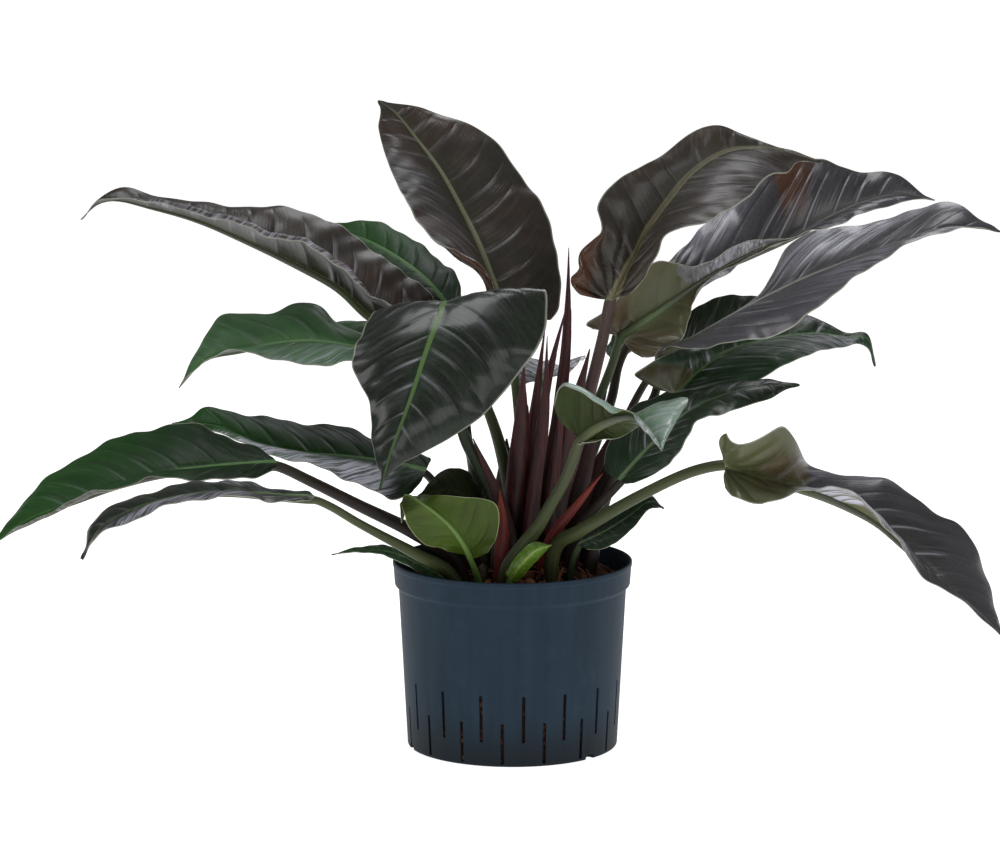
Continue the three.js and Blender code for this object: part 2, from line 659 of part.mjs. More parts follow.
function pot() {
  const wallTop = wallRadius(SHOULDER);
  const bandFoot = RIM_RADIUS - CORNER;
  let solid = turned([
    [0, 0], [BASE_RADIUS - CORNER, 0], [BASE_RADIUS, CORNER],
    [wallTop, SHOULDER], [bandFoot, SHOULDER + RIM_SLOPE],
    [RIM_RADIUS, POT_HEIGHT - CORNER], [RIM_RADIUS - CORNER / 2, POT_HEIGHT],
    [RIM_RADIUS - CORNER, POT_HEIGHT], [bandFoot - WALL, SHOULDER + RIM_SLOPE + 1],
    [wallTop - WALL, SHOULDER + 1], [wallRadius(FLOOR) - WALL, FLOOR], [0, FLOOR],
  ]);
  for (let k = 0; k < SLOTS_AROUND; k += 1) {
    for (const { from, to, turn } of [UPPER_SLOT, LOWER_SLOT]) {
      const at = turn + (360 * k) / SLOTS_AROUND;
      solid = solid.subtract(block(SLOT_WIDTH, SLOT_DEPTH, from, to, BASE_RADIUS, at));
    }
  }
  for (const turn of NOTCH.turns) {
    solid = solid.subtract(block(NOTCH.width, 2 * NOTCH.depth, -1, NOTCH.height, BASE_RADIUS, turn));
  }
  return toMesh('pot', solid, material('pot', 0.55));
}

// What is cut off above the pebbles: peaks on every third point of a grid of triangles, and dips between
function abovePebbles() {
  const reach = Math.ceil(RIM_RADIUS / PEBBLE_GRID) + 1;
  const rowStep = PEBBLE_GRID * Math.sin(Math.PI / 3);
  const upper = [];
  const under = [];
  for (let r = -reach; r <= reach; r += 1) {
    const odd = Math.abs(r % 2);
    for (let c = -reach; c <= reach; c += 1) {
      const x = (c + odd / 2) * PEBBLE_GRID;
      const peak = (c - (r - odd) / 2 - r) % 3 === 0;
      const uneven = Math.sin(12.9 * c + 78.2 * r);
      const z = BED_TOP + (peak ? 1 + uneven : uneven - PEBBLE_RELIEF);
      under.push(new THREE.Vector3(x, r * rowStep, z));
      upper.push(new THREE.Vector3(x, r * rowStep, POT_HEIGHT));
    }
  }
  return sheet(upper, under, 2 * reach + 1, (r) => (r + reach) % 2 === 1);
}

function substrate(holes) {
  const inner = (z) => wallRadius(z) - WALL - CLEARANCE;
  const floor = FLOOR + CLEARANCE;
  const top = BED_TOP + HIGHEST_PEBBLE;
  let solid = turned([
    [0, floor], [inner(floor), floor], [inner(SHOULDER), SHOULDER], [inner(SHOULDER), top], [0, top],
  ]).subtract(abovePebbles());
  for (const hole of holes) {
    solid = solid.subtract(hole);
  }
  return toMesh('substrate', biggestBody(solid), material('clay', 0.95));
}

const plant = new THREE.Group();
const holes = [];
for (const [name, spec] of Object.entries(LEAVES)) {
  plant.add(leaf(name, spec, holes));
}
for (const [name, spec] of Object.entries(SPEARS)) {
  plant.add(spear(name, spec, holes));
}
for (const [name, spec] of Object.entries(STEMS)) {
  plant.add(stem(name, spec, holes));
}

const philodendron = new THREE.Group();
philodendron.add(pot(), substrate(holes), plant);

export default philodendron;
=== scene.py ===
"""A potted imperial red philodendron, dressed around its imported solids.

The tables hold millimetres and every mesh is made in metres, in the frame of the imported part: +Z up, the origin
at the middle of the pot's flat base, -Y towards the viewer.
"""

from __future__ import annotations

import logging
import math
from dataclasses import dataclass, field
from enum import Enum
from typing import Any, Callable

import bpy
import numpy as np
from mathutils import Matrix, Vector

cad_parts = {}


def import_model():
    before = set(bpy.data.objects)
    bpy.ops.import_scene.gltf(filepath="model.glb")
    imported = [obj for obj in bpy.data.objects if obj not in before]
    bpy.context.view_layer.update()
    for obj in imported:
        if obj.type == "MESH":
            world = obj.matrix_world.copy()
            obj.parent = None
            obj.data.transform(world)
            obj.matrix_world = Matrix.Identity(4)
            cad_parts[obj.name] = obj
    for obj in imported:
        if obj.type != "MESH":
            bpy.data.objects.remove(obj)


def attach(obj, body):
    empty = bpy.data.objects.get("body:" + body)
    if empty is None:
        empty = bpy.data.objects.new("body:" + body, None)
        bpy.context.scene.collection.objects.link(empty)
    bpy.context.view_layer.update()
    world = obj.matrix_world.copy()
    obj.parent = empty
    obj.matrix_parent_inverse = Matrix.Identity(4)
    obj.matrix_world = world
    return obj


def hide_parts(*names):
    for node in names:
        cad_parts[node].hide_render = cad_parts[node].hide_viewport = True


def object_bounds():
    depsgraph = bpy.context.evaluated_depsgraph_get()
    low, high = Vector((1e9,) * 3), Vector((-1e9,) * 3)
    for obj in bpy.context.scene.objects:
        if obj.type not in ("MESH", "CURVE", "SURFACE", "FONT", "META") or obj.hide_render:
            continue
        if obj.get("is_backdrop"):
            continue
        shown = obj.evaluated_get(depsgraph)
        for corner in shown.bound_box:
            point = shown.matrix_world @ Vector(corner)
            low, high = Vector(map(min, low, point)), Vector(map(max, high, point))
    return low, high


LOG = logging.getLogger("philodendron")
MM = 0.001
BODY = "root"

# Pot, in millimetres
POT_HEIGHT = 196.0
RIM_RADIUS = 125.0
RIM_BAND = 25.0
RIM_STEP = 5.0
RIM_SLOPE = 3.0
SHOULDER = POT_HEIGHT - RIM_BAND - RIM_SLOPE
BASE_RADIUS = 110.0
WALL = 2.0
FLOOR = 3.0
SLOTS_AROUND = 16
SLOT_WIDTH = 3.5
SLOT_DEPTH = 20.0
NOTCH_TURNS = (47.0, -73.0, 167.0)
NOTCH_SIZE = (13.0, 18.0, 5.0)

# Clay bed and plant, in millimetres
BED_TOP = 174.0
ROOT_DEPTH = 16.0
ARCH = 0.07
BLADE_THICKNESS = 0.9
EYE = np.array([-13.0, -4434.0, 1100.0])
SEEN_FROM_HEIGHT = 6.0

Point = tuple[float, float, float]
Colour = tuple[int, int, int]


class Foliage(Enum):
    """The leaf colours that the plant has, by age and place; some carry strong painted sheen, and one is a brighter
    copy of the green, painted light for leaves that sit in shade.
    """

    BRONZE = "bronze"
    DUSK = "dusk"
    SLATE = "slate"
    PLUM = "plum"
    GREEN = "green"
    # A brighter copy of the green: painted light for green leaves that sit in shade.
    SOFT = "soft"
    # Dark green with strong painted sheen.
    SHEENED_GREEN = "sheened_green"
    DEEP = "deep"
    SHADE = "shade"
    OLIVE = "olive"
    MINT = "mint"
    YOUNG = "young"
    NEW = "new"


class Petiole(Enum):
    """The stalk colours that the plant has."""

    OLIVE = "olive"
    GREEN = "green"
    FRESH = "fresh"
    DARK = "dark"
    PURPLE = "purple"


@dataclass(frozen=True)
class Curl:
    """A stretch of margin that rolls over, towards the upper face where its turn is above zero."""

    side: int
    start: float
    end: float
    width: float
    turn: float


@dataclass(frozen=True)
class Patch:
    """A stretch of one half of a blade that shows a tint or a painted highlight, from a share of its width out to the
    margin.
    """

    side: int
    start: float
    end: float
    inner: float = 0.15
    strength: float = 1.0
    soft: float = 0.01


@dataclass(frozen=True)
class LeafPlan:
    """Where one leaf grows: stations of left margin, midrib and right margin, each as [x, z, back] as seen."""

    foliage: Foliage
    petiole: Petiole
    root: tuple[float, float]
    radii: Point
    tip: Point
    stalk: list[Point]
    stations: list[tuple[Point, Point, Point]]
    small: bool = False
    curls: tuple[Curl, ...] = ()
    gather: tuple[float, float] = (0.8, 0.8)
    turned: tuple[tuple[int, float, float], ...] = ()
    flush: tuple[Patch, ...] = ()
    # Stretches of blade that get a painted highlight.
    gleam: tuple[Patch, ...] = ()
    lean: float = 0.5
    clasp: float = 1.25
    midrib: float = 1.0
    quilt: float = 1.0
    slant: tuple[float, float] = (1.0, 1.0)


@dataclass(frozen=True)
class SheathPlan:
    """Where one old sheath stands: its foot, its tip as seen, and half its width."""

    root: tuple[float, float]
    tip: Point
    half_width: float


@dataclass(frozen=True)
class StemPlan:
    """Where one crown stem stands, how stout and high it is, and the old sheaths round it."""

    x: float
    y: float
    radius: float
    height: float
    sheaths: list[SheathPlan]


@dataclass(frozen=True)
class SpearPlan:
    """Where one rolled spear or sheath grows, from its root to its tip."""

    root: tuple[float, float]
    radii: Point
    stalk: list[Point]


LEAVES: dict[str, LeafPlan] = {
    "leaf_top_centre": LeafPlan(
        Foliage.BRONZE, Petiole.OLIVE, root=(8, 26), radii=(7, 5.5, 4.5), tip=(-138, 670, 148),
        stalk=[(10, 236, 24), (9, 300, 26), (6, 350, 29), (-2, 410, 35)],
        curls=(Curl(-1, -0.04, 0.34, 18, 165),), flush=(Patch(-1, 0.0, 0.36, 0.2),),
        gleam=(Patch(-1, 0.25, 1.0, 0.1, 0.12, 0.1),), clasp=1.4, midrib=1.5, quilt=0.6, slant=(2.4, 1.0),
        stations=[
            ((-30, 455, 22), (-12, 458, 42), (34, 436, 48)), ((-36, 486, 8), (-20, 480, 52), (49, 457, 60)),
            ((-70, 512, 20), (-33, 515, 70), (47, 498, 80)), ((-99, 548, 50), (-50, 552, 95), (38, 545, 105)),
            ((-115, 576, 80), (-75, 598, 120), (8, 594, 132)), ((-128, 605, 110), (-100, 632, 140), (-32, 639, 152)),
            ((-138, 642, 138), (-121, 658, 150), (-90, 661, 160)),
        ],
    ),
    "leaf_front_left": LeafPlan(
        Foliage.SLATE, Petiole.GREEN, root=(-12, -20), radii=(7, 6, 5), tip=(-138, 263, -198),
        stalk=[(-12, 225, -22), (-20, 260, -24), (-35, 290, -26), (-50, 320, -28), (-62, 380, -28)],
        clasp=1.7,
        stations=[
            ((5, 448, -8), (-62, 436, -32), (-115, 436, -18)), ((33, 472, -50), (-69, 461, -62), (-145, 450, -55)),
            ((34, 432, -85), (-79, 438, -95), (-158, 422, -88)), ((8, 388, -112), (-92, 402, -122), (-167, 395, -112)),
            ((-32, 342, -140), (-104, 365, -148), (-149, 358, -138)),
            ((-84, 307, -165), (-116, 332, -172), (-147, 322, -166)),
            ((-118, 290, -184), (-129, 296, -190), (-141, 292, -186)),
        ],
    ),
    "leaf_long_left": LeafPlan(
        Foliage.BRONZE, Petiole.OLIVE, root=(-10, 40), radii=(7, 6, 4.5), tip=(-445, 547, 112),
        stalk=[(0, 230, 40), (-8, 290, 42), (-25, 347, 46), (-52, 400, 52)],
        clasp=1.4, quilt=1.1, curls=(Curl(-1, 0.06, 0.8, 7, -130),),
        gleam=(Patch(-1, 0.04, 0.75, 0.68, 1.0, 0.04), Patch(-1, 0.5, 0.9, 0.1, 0.5, 0.1)),
        stations=[
            ((-100, 446, 50), (-92, 432, 66), (-74, 450, 92)), ((-135, 462, 42), (-142, 444, 74), (-95, 480, 112)),
            ((-165, 490, 38), (-180, 477, 84), (-128, 502, 130)), ((-200, 520, 40), (-222, 500, 92), (-160, 528, 145)),
            ((-250, 535, 52), (-275, 525, 100), (-212, 555, 152)),
            ((-302, 553, 68), (-325, 546, 106), (-280, 561, 150)),
            ((-360, 566, 86), (-372, 559, 110), (-345, 567, 140)),
            ((-408, 570, 104), (-410, 567, 114), (-402, 580, 130)),
            ((-427, 565, 108), (-427, 563, 113), (-425, 568, 117)),
        ],
    ),
    "leaf_back_left": LeafPlan(
        Foliage.GREEN, Petiole.GREEN, root=(-24, 58), radii=(6, 5, 4), tip=(-200, 538, 270),
        stalk=[(-24, 240, 64), (-36, 282, 70), (-46, 313, 77), (-50, 365, 92)],
        clasp=1.5,
        stations=[
            ((-90, 440, 110), (-62, 450, 122), (-48, 455, 150)), ((-112, 462, 128), (-85, 480, 152), (-58, 487, 182)),
            ((-140, 484, 165), (-115, 505, 192), (-88, 515, 228)),
            ((-168, 506, 205), (-150, 525, 232), (-132, 542, 262)),
            ((-190, 526, 240), (-182, 536, 254), (-174, 545, 268)),
        ],
    ),
    "leaf_mid_left": LeafPlan(
        Foliage.SOFT, Petiole.GREEN, root=(-44, 22), radii=(6.5, 5.5, 4.5), tip=(-346, 371, 60),
        stalk=[(-38, 240, 21), (-40, 285, 20), (-48, 318, 20), (-74, 355, 20)],
        clasp=1.5, gleam=(Patch(-1, 0.1, 0.75, 0.0, 0.5, 0.06),),
        stations=[
            ((-112, 385, 8), (-115, 400, 26), (-105, 425, 58)), ((-165, 400, -12), (-165, 414, 32), (-162, 430, 80)),
            ((-207, 394, -16), (-210, 420, 42), (-208, 459, 95)), ((-250, 403, 2), (-248, 417, 48), (-255, 450, 102)),
            ((-290, 410, 24), (-284, 409, 53), (-302, 445, 98)), ((-320, 399, 46), (-318, 400, 58), (-325, 415, 80)),
        ],
    ),
    "leaf_low_left": LeafPlan(
        Foliage.GREEN, Petiole.DARK, root=(-48, -28), radii=(7.5, 6.5, 5.5), tip=(-548, 203, -150),
        stalk=[(-60, 190, -33), (-100, 217, -48), (-160, 247, -62), (-205, 270, -72)],
        curls=(Curl(-1, 0.5, 1.1, 9, 125),), gleam=(Patch(-1, 0.6, 1.1, 0.7, 0.7, 0.2),),
        stations=[
            ((-246, 284, -94), (-246, 293, -80), (-252, 300, -66)),
            ((-268, 278, -122), (-275, 291, -86), (-285, 314, -46)),
            ((-315, 273, -146), (-320, 287, -92), (-326, 332, -30)),
            ((-365, 277, -158), (-365, 281, -102), (-377, 328, -30)),
            ((-412, 264, -162), (-414, 267, -112), (-427, 311, -44)),
            ((-458, 246, -162), (-460, 249, -126), (-480, 279, -70)),
            ((-500, 225, -155), (-503, 233, -138), (-515, 245, -105)),
        ],
    ),
    "leaf_inner_left": LeafPlan(
        Foliage.GREEN, Petiole.DARK, root=(-52, 0), radii=(6, 5, 4.5), tip=(-354, 334, 30),
        stalk=[(-60, 220, 0), (-72, 255, 2)],
        gleam=(Patch(-1, 0.2, 1.0, 0.1, 1.9, 0.08), Patch(1, 0.1, 0.9, 0.3, 0.6, 0.08)),
        stations=[
            ((-98, 264, -22), (-90, 284, 5), (-82, 300, 35)), ((-125, 254, -46), (-122, 292, 6), (-115, 305, 56)),
            ((-165, 272, -56), (-168, 298, 8), (-162, 326, 70)), ((-212, 291, -52), (-222, 303, 12), (-222, 335, 72)),
            ((-262, 304, -34), (-270, 314, 18), (-272, 342, 64)), ((-303, 324, -4), (-308, 331, 25), (-315, 350, 48)),
        ],
    ),
    "leaf_narrow_left": LeafPlan(
        Foliage.SLATE, Petiole.OLIVE, root=(-50, -58), radii=(6.2, 4.8, 4.2), tip=(-450, 190, -212),
        stalk=[(-65, 174, -64), (-100, 195, -86), (-160, 228, -136), (-190, 246, -166)],
        gleam=(Patch(-1, 0.3, 1.0, 0.1, 1.0, 0.1), Patch(1, 0.1, 0.6, 0.3, 0.7, 0.05)),
        stations=[
            ((-212, 250, -198), (-206, 256, -184), (-214, 262, -172)),
            ((-240, 251, -222), (-245, 258, -191), (-255, 266, -164)),
            ((-290, 256, -240), (-295, 261, -196), (-300, 274, -160)),
            ((-345, 251, -244), (-345, 257, -202), (-350, 268, -163)),
            ((-392, 233, -240), (-395, 243, -207), (-398, 254, -174)),
            ((-430, 216, -230), (-430, 223, -212), (-440, 228, -192)),
        ],
    ),
    "leaf_small_left": LeafPlan(
        Foliage.SOFT, Petiole.GREEN, root=(-64, -42), radii=(3.5, 3, 2.5), tip=(-189, 195, -66), small=True,
        stalk=[(-64, 162, -43)],
        gleam=(Patch(1, 0.2, 1.0, 0.5, 0.8, 0.1),),
        stations=[
            ((-70, 163, -50), (-68, 169, -46), (-66, 175, -42)), ((-94, 174, -58), (-94, 182, -51), (-95, 191, -44)),
            ((-124, 190, -64), (-124, 196, -57), (-124, 203, -50)),
            ((-150, 197, -68), (-152, 199, -63), (-154, 204, -57)),
        ],
    ),
    "leaf_pale_front": LeafPlan(
        Foliage.YOUNG, Petiole.FRESH, root=(-32, -64), radii=(4.5, 4, 3), tip=(-116, 229, -86), small=True,
        stalk=[(-36, 168, -68)],
        gather=(1.4, 1.4),
        stations=[
            ((-30, 193, -72), (-43, 190, -78), (-53, 195, -72)), ((-17, 212, -76), (-52, 207, -90), (-72, 201, -88)),
            ((-17, 248, -82), (-65, 225, -100), (-92, 206, -100)),
            ((-50, 256, -92), (-80, 239, -108), (-108, 224, -108)),
            ((-78, 258, -100), (-94, 249, -112), (-113, 238, -114)),
            ((-98, 256, -90), (-112, 258, -96), (-117, 250, -104)),
        ],
    ),
    "leaf_small_dark": LeafPlan(
        Foliage.SHADE, Petiole.GREEN, root=(-28, -4), radii=(4, 3.5, 3), tip=(-99, 257, -46), small=True,
        stalk=[(-27, 200, -8)],
        stations=[
            ((-36, 235, -30), (-31, 245, -15), (-33, 264, -2)), ((-54, 236, -45), (-52, 260, -25), (-50, 285, -6)),
            ((-74, 242, -50), (-72, 264, -33), (-72, 284, -16)),
        ],
    ),
    "leaf_new_front": LeafPlan(
        Foliage.NEW, Petiole.FRESH, root=(-4, -84), radii=(4.5, 4, 3.5), tip=(41, 205, -98), small=True,
        stalk=[(-3, 166, -85)],
        stations=[
            ((-8, 174, -86), (-2, 170, -88), (3, 164, -86)), ((4, 192, -90), (11, 186, -96), (16, 178, -90)),
            ((20, 207, -94), (26, 200, -100), (28, 192, -94)),
        ],
    ),
    "leaf_pale_right": LeafPlan(
        Foliage.MINT, Petiole.OLIVE, root=(-8, -60), radii=(7, 6.5, 5.5), tip=(155, 305, -214),
        stalk=[(-5, 178, -62), (10, 203, -67), (25, 222, -73), (40, 248, -82), (55, 275, -92)],
        curls=(Curl(1, 0.02, 0.52, 7, -165),), gather=(2.6, 2.6),
        gleam=(Patch(1, 0.55, 1.0, 0.2, 1.0, 0.1), Patch(-1, 0.4, 0.8, 0.4, 0.6, 0.1)),
        stations=[
            ((62, 313, -112), (74, 314, -105), (38, 340, -90)), ((90, 315, -124), (88, 327, -115), (54, 377, -94)),
            ((116, 321, -130), (104, 337, -128), (86, 362, -120)),
            ((132, 333, -128), (118, 343, -142), (108, 350, -152)),
            ((150, 354, -132), (130, 340, -160), (124, 344, -178)),
            ((181, 361, -140), (143, 327, -182), (137, 326, -200)),
            ((170, 336, -180), (152, 314, -200), (149, 313, -208)),
        ],
    ),
    "leaf_top_right": LeafPlan(
        Foliage.DUSK, Petiole.PURPLE, root=(42, 6), radii=(8.5, 7.5, 6), tip=(317, 607, 12),
        stalk=[(46, 240, 2), (63, 300, -4), (81, 370, -11), (94, 425, -18)],
        curls=(Curl(-1, 0.0, 0.46, 9, -120),), gather=(6.5, 1.8), flush=(Patch(-1, 0.0, 0.5, 0.5),),
        clasp=1.4, midrib=3.0,
        gleam=(Patch(1, 0.62, 1.0, -0.2, 0.15, 0.1),),
        stations=[
            ((78, 468, -38), (103, 463, -22), (118, 468, -32)), ((61, 480, -50), (108, 474, -22), (128, 476, -42)),
            ((70, 496, -52), (113, 484, -22), (136, 488, -50)), ((71, 512, -44), (119, 495, -20), (142, 498, -55)),
            ((92, 533, -40), (128, 512, -14), (152, 515, -58)), ((87, 560, -22), (138, 532, -8), (162, 534, -58)),
            ((105, 586, -6), (158, 563, 6), (208, 548, -46)), ((145, 608, 16), (186, 597, 20), (243, 571, -26)),
            ((198, 643, 36), (222, 618, 26), (264, 592, -8)), ((248, 632, 36), (262, 621, 22), (293, 598, 6)),
        ],
    ),
    "leaf_far_right": LeafPlan(
        Foliage.PLUM, Petiole.DARK, root=(44, 52), radii=(6.5, 5.5, 4.5), tip=(435, 567, 150),
        stalk=[(60, 240, 54), (85, 310, 58), (103, 360, 62), (110, 395, 66), (119, 415, 70)],
        flush=(Patch(-1, 0.4, 0.58, 0.1),),
        gleam=(Patch(1, 0.1, 0.45, 0.2, 0.7, 0.08), Patch(-1, 0.12, 0.36, 0.3, 0.7, 0.06)),
        lean=0.8, clasp=1.4,
        stations=[
            ((150, 488, 104), (150, 462, 84), (168, 456, 66)), ((184, 528, 128), (196, 490, 98), (212, 486, 75)),
            ((226, 564, 150), (246, 510, 112), (258, 516, 88)), ((276, 611, 160), (293, 530, 124), (301, 532, 96)),
            ((315, 609, 165), (330, 551, 134), (340, 544, 105)), ((352, 598, 165), (365, 566, 142), (366, 555, 114)),
            ((396, 593, 160), (400, 573, 148), (402, 565, 132)),
        ],
    ),
    "leaf_olive_right": LeafPlan(
        Foliage.OLIVE, Petiole.GREEN, root=(50, 30), radii=(6.5, 5.5, 4.5), tip=(294, 529, 60),
        stalk=[(54, 240, 28), (70, 300, 27), (90, 360, 25), (103, 395, 24)],
        gather=(2.0, 2.0), turned=((1, 0.5, 1.01),),
        gleam=(Patch(1, 0.56, 1.02, 0.0, 0.8, 0.06), Patch(-1, 0.6, 1.02, 0.0, 0.5, 0.06)),
        stations=[
            ((128, 404, 14), (112, 425, 22), (88, 432, 14)), ((150, 404, 10), (128, 436, 30), (76, 438, 4)),
            ((172, 420, 16), (150, 451, 38), (108, 462, 12)), ((184, 445, 26), (171, 466, 45), (150, 504, 28)),
            ((190, 472, 38), (204, 488, 50), (190, 498, 42)), ((234, 503, 50), (240, 509, 56), (230, 520, 50)),
            ((264, 517, 54), (266, 521, 58), (262, 527, 54)),
        ],
    ),
    "leaf_long_right": LeafPlan(
        Foliage.PLUM, Petiole.DARK, root=(66, 6), radii=(6, 5.5, 4.5), tip=(503, 535, -125),
        stalk=[(86, 240, 6), (112, 305, 10), (134, 341, 8), (147, 362, 4)],
        gleam=(Patch(-1, 0.5, 0.98, 0.1, 1.0, 0.12), Patch(1, 0.6, 0.9, 0.1, 0.4, 0.1)), lean=1.3, clasp=1.4,
        stations=[
            ((152, 390, 10), (149, 387, 4), (151, 384, 2)), ((153, 412, -22), (152, 410, -28), (157, 411, -38)),
            ((189, 423, -28), (185, 424, -45), (190, 413, -80)), ((232, 444, -35), (225, 447, -62), (235, 420, -112)),
            ((260, 473, -28), (262, 467, -74), (283, 431, -134)), ((294, 529, -34), (305, 487, -85), (325, 464, -145)),
            ((345, 539, -45), (350, 505, -95), (362, 492, -145)), ((405, 553, -60), (400, 524, -108), (408, 521, -140)),
            ((458, 567, -88), (450, 539, -118), (462, 538, -130)),
        ],
    ),
    "leaf_behind_right": LeafPlan(
        Foliage.DEEP, Petiole.DARK, root=(66, 40), radii=(5.5, 5, 4), tip=(298, 456, 112),
        stalk=[(85, 240, 44), (110, 320, 46)],
        clasp=1.4,
        stations=[
            ((148, 400, 66), (140, 382, 50), (150, 370, 40)), ((168, 434, 86), (172, 408, 66), (190, 388, 48)),
            ((203, 463, 100), (214, 430, 84), (230, 410, 62)), ((248, 468, 112), (258, 448, 98), (266, 436, 82)),
        ],
    ),
    "leaf_mid_right": LeafPlan(
        Foliage.SHEENED_GREEN, Petiole.DARK, root=(74, -16), radii=(6.5, 5.5, 4.5), tip=(376, 394, -10),
        stalk=[(92, 240, -16), (115, 302, -14), (134, 336, -13), (153, 358, -12)],
        gather=(1.8, 1.0),
        gleam=(Patch(1, 0.5, 0.95, 0.3, 0.7, 0.1), Patch(-1, 0.45, 0.8, 0.4, 0.6, 0.1)), turned=((-1, 0.0, 0.24),),
        lean=0.8, clasp=1.5,
        stations=[
            ((140, 373, -32), (170, 366, -10), (182, 352, -20)), ((127, 384, -42), (178, 374, -10), (205, 355, -30)),
            ((145, 399, -40), (192, 388, -8), (232, 366, -36)), ((198, 418, 4), (222, 409, -2), (265, 385, -36)),
            ((255, 440, 25), (270, 423, 0), (303, 405, -30)), ((305, 446, 20), (318, 428, 0), (335, 413, -22)),
            ((343, 431, 8), (348, 424, -4), (355, 417, -16)), ((366, 428, 0), (367, 423, -6), (364, 415, -12)),
        ],
    ),
    "leaf_inner_right": LeafPlan(
        Foliage.DEEP, Petiole.DARK, root=(54, -24), radii=(6, 5.5, 4.5), tip=(298, 374, -88),
        stalk=[(72, 225, -46), (94, 252, -62)],
        lean=0.7, clasp=1.5,
        stations=[
            ((92, 284, -58), (112, 274, -74), (120, 267, -86)), ((100, 312, -48), (128, 293, -78), (150, 282, -104)),
            ((126, 353, -42), (152, 318, -80), (172, 300, -118)), ((172, 366, -44), (186, 348, -82), (190, 334, -120)),
            ((226, 376, -48), (232, 368, -84), (224, 346, -116)), ((260, 381, -62), (266, 374, -84), (262, 358, -102)),
        ],
    ),
    "leaf_low_right": LeafPlan(
        Foliage.PLUM, Petiole.OLIVE, root=(38, -52), radii=(6.5, 6, 5.5), tip=(524, 98, -235),
        stalk=[(46, 204, -64), (70, 220, -80), (130, 256, -110), (190, 284, -136)],
        curls=(Curl(-1, 0.3, 0.75, 13, -85),), gather=(2.4, 2.4),
        gleam=(Patch(1, 0.3, 0.8, -0.3, 2.2, 0.04), Patch(-1, 0.3, 0.66, 0.4, 1.0, 0.05)),
        turned=((-1, 0.0, 0.3), (1, 0.0, 0.3)),
        lean=0.8,
        stations=[
            ((212, 333, -166), (222, 288, -150), (219, 271, -166)),
            ((240, 313, -192), (245, 281, -158), (232, 255, -196)),
            ((282, 330, -190), (278, 272, -165), (268, 251, -210)),
            ((308, 290, -140), (312, 263, -172), (306, 262, -212)),
            ((345, 281, -115), (345, 249, -180), (338, 268, -230)),
            ((390, 275, -110), (380, 229, -190), (370, 246, -240)),
            ((440, 243, -125), (412, 200, -200), (400, 212, -245)),
            ((478, 212, -145), (440, 174, -205), (425, 176, -245)),
            ((503, 152, -175), (480, 141, -215), (468, 146, -240)),
        ],
    ),
    "leaf_small_right": LeafPlan(
        Foliage.DEEP, Petiole.GREEN, root=(58, -46), radii=(4.5, 4, 3), tip=(158, 244, -66), small=True,
        stalk=[(62, 185, -50)],
        stations=[
            ((74, 216, -52), (69, 206, -58), (74, 200, -66)), ((97, 233, -50), (98, 220, -64), (98, 202, -78)),
            ((122, 248, -52), (124, 237, -66), (124, 221, -78)), ((143, 258, -60), (144, 251, -66), (143, 243, -72)),
        ],
    ),
    "leaf_edge_back": LeafPlan(
        Foliage.SLATE, Petiole.GREEN, root=(16, 84), radii=(6, 5, 4), tip=(52, 394, 390),
        stalk=[(18, 240, 92), (24, 320, 106)],
        gleam=(Patch(-1, 0.0, 1.0, 0.1, 1.0, 0.05), Patch(1, 0.0, 1.0, 0.1, 1.0, 0.05)),
        stations=[
            ((4, 372, 140), (28, 378, 122), (54, 382, 140)), ((8, 396, 190), (38, 386, 180), (72, 402, 190)),
            ((14, 400, 260), (44, 389, 260), (75, 403, 265)), ((30, 400, 330), (48, 392, 330), (66, 400, 330)),
        ],
    ),
    "leaf_rear_left": LeafPlan(
        Foliage.GREEN, Petiole.DARK, root=(-38, 72), radii=(6, 5, 4), tip=(-286, 416, 385),
        stalk=[(-34, 240, 86), (-38, 285, 92), (-48, 318, 100), (-62, 360, 114)],
        stations=[
            ((-105, 393, 112), (-90, 400, 130), (-75, 402, 152)), ((-165, 412, 155), (-140, 420, 210), (-95, 430, 250)),
            ((-225, 415, 232), (-200, 427, 285), (-155, 440, 330)),
            ((-265, 415, 310), (-250, 424, 340), (-225, 436, 370)),
        ],
    ),
    "leaf_rear_centre": LeafPlan(
        Foliage.DEEP, Petiole.GREEN, root=(-4, 68), radii=(6, 5, 4), tip=(-55, 432, 410),
        stalk=[(-2, 240, 80), (-9, 295, 98), (-17, 325, 114), (-25, 352, 130)],
        stations=[
            ((-45, 372, 164), (-30, 380, 150), (-12, 374, 164)), ((-100, 405, 218), (-45, 415, 220), (-2, 408, 222)),
            ((-110, 430, 290), (-52, 432, 300), (-2, 432, 290)), ((-85, 440, 350), (-55, 438, 360), (-22, 440, 350)),
        ],
    ),
    "leaf_rear_right": LeafPlan(
        Foliage.GREEN, Petiole.OLIVE, root=(36, 76), radii=(6, 5, 4), tip=(240, 520, 385),
        stalk=[(54, 240, 84), (71, 300, 92), (89, 360, 106)],
        stations=[
            ((94, 408, 142), (104, 400, 122), (118, 404, 104)), ((122, 462, 232), (142, 446, 205), (168, 454, 172)),
            ((160, 500, 305), (176, 484, 290), (190, 487, 250)), ((196, 517, 350), (206, 506, 340), (218, 509, 320)),
        ],
    ),
}

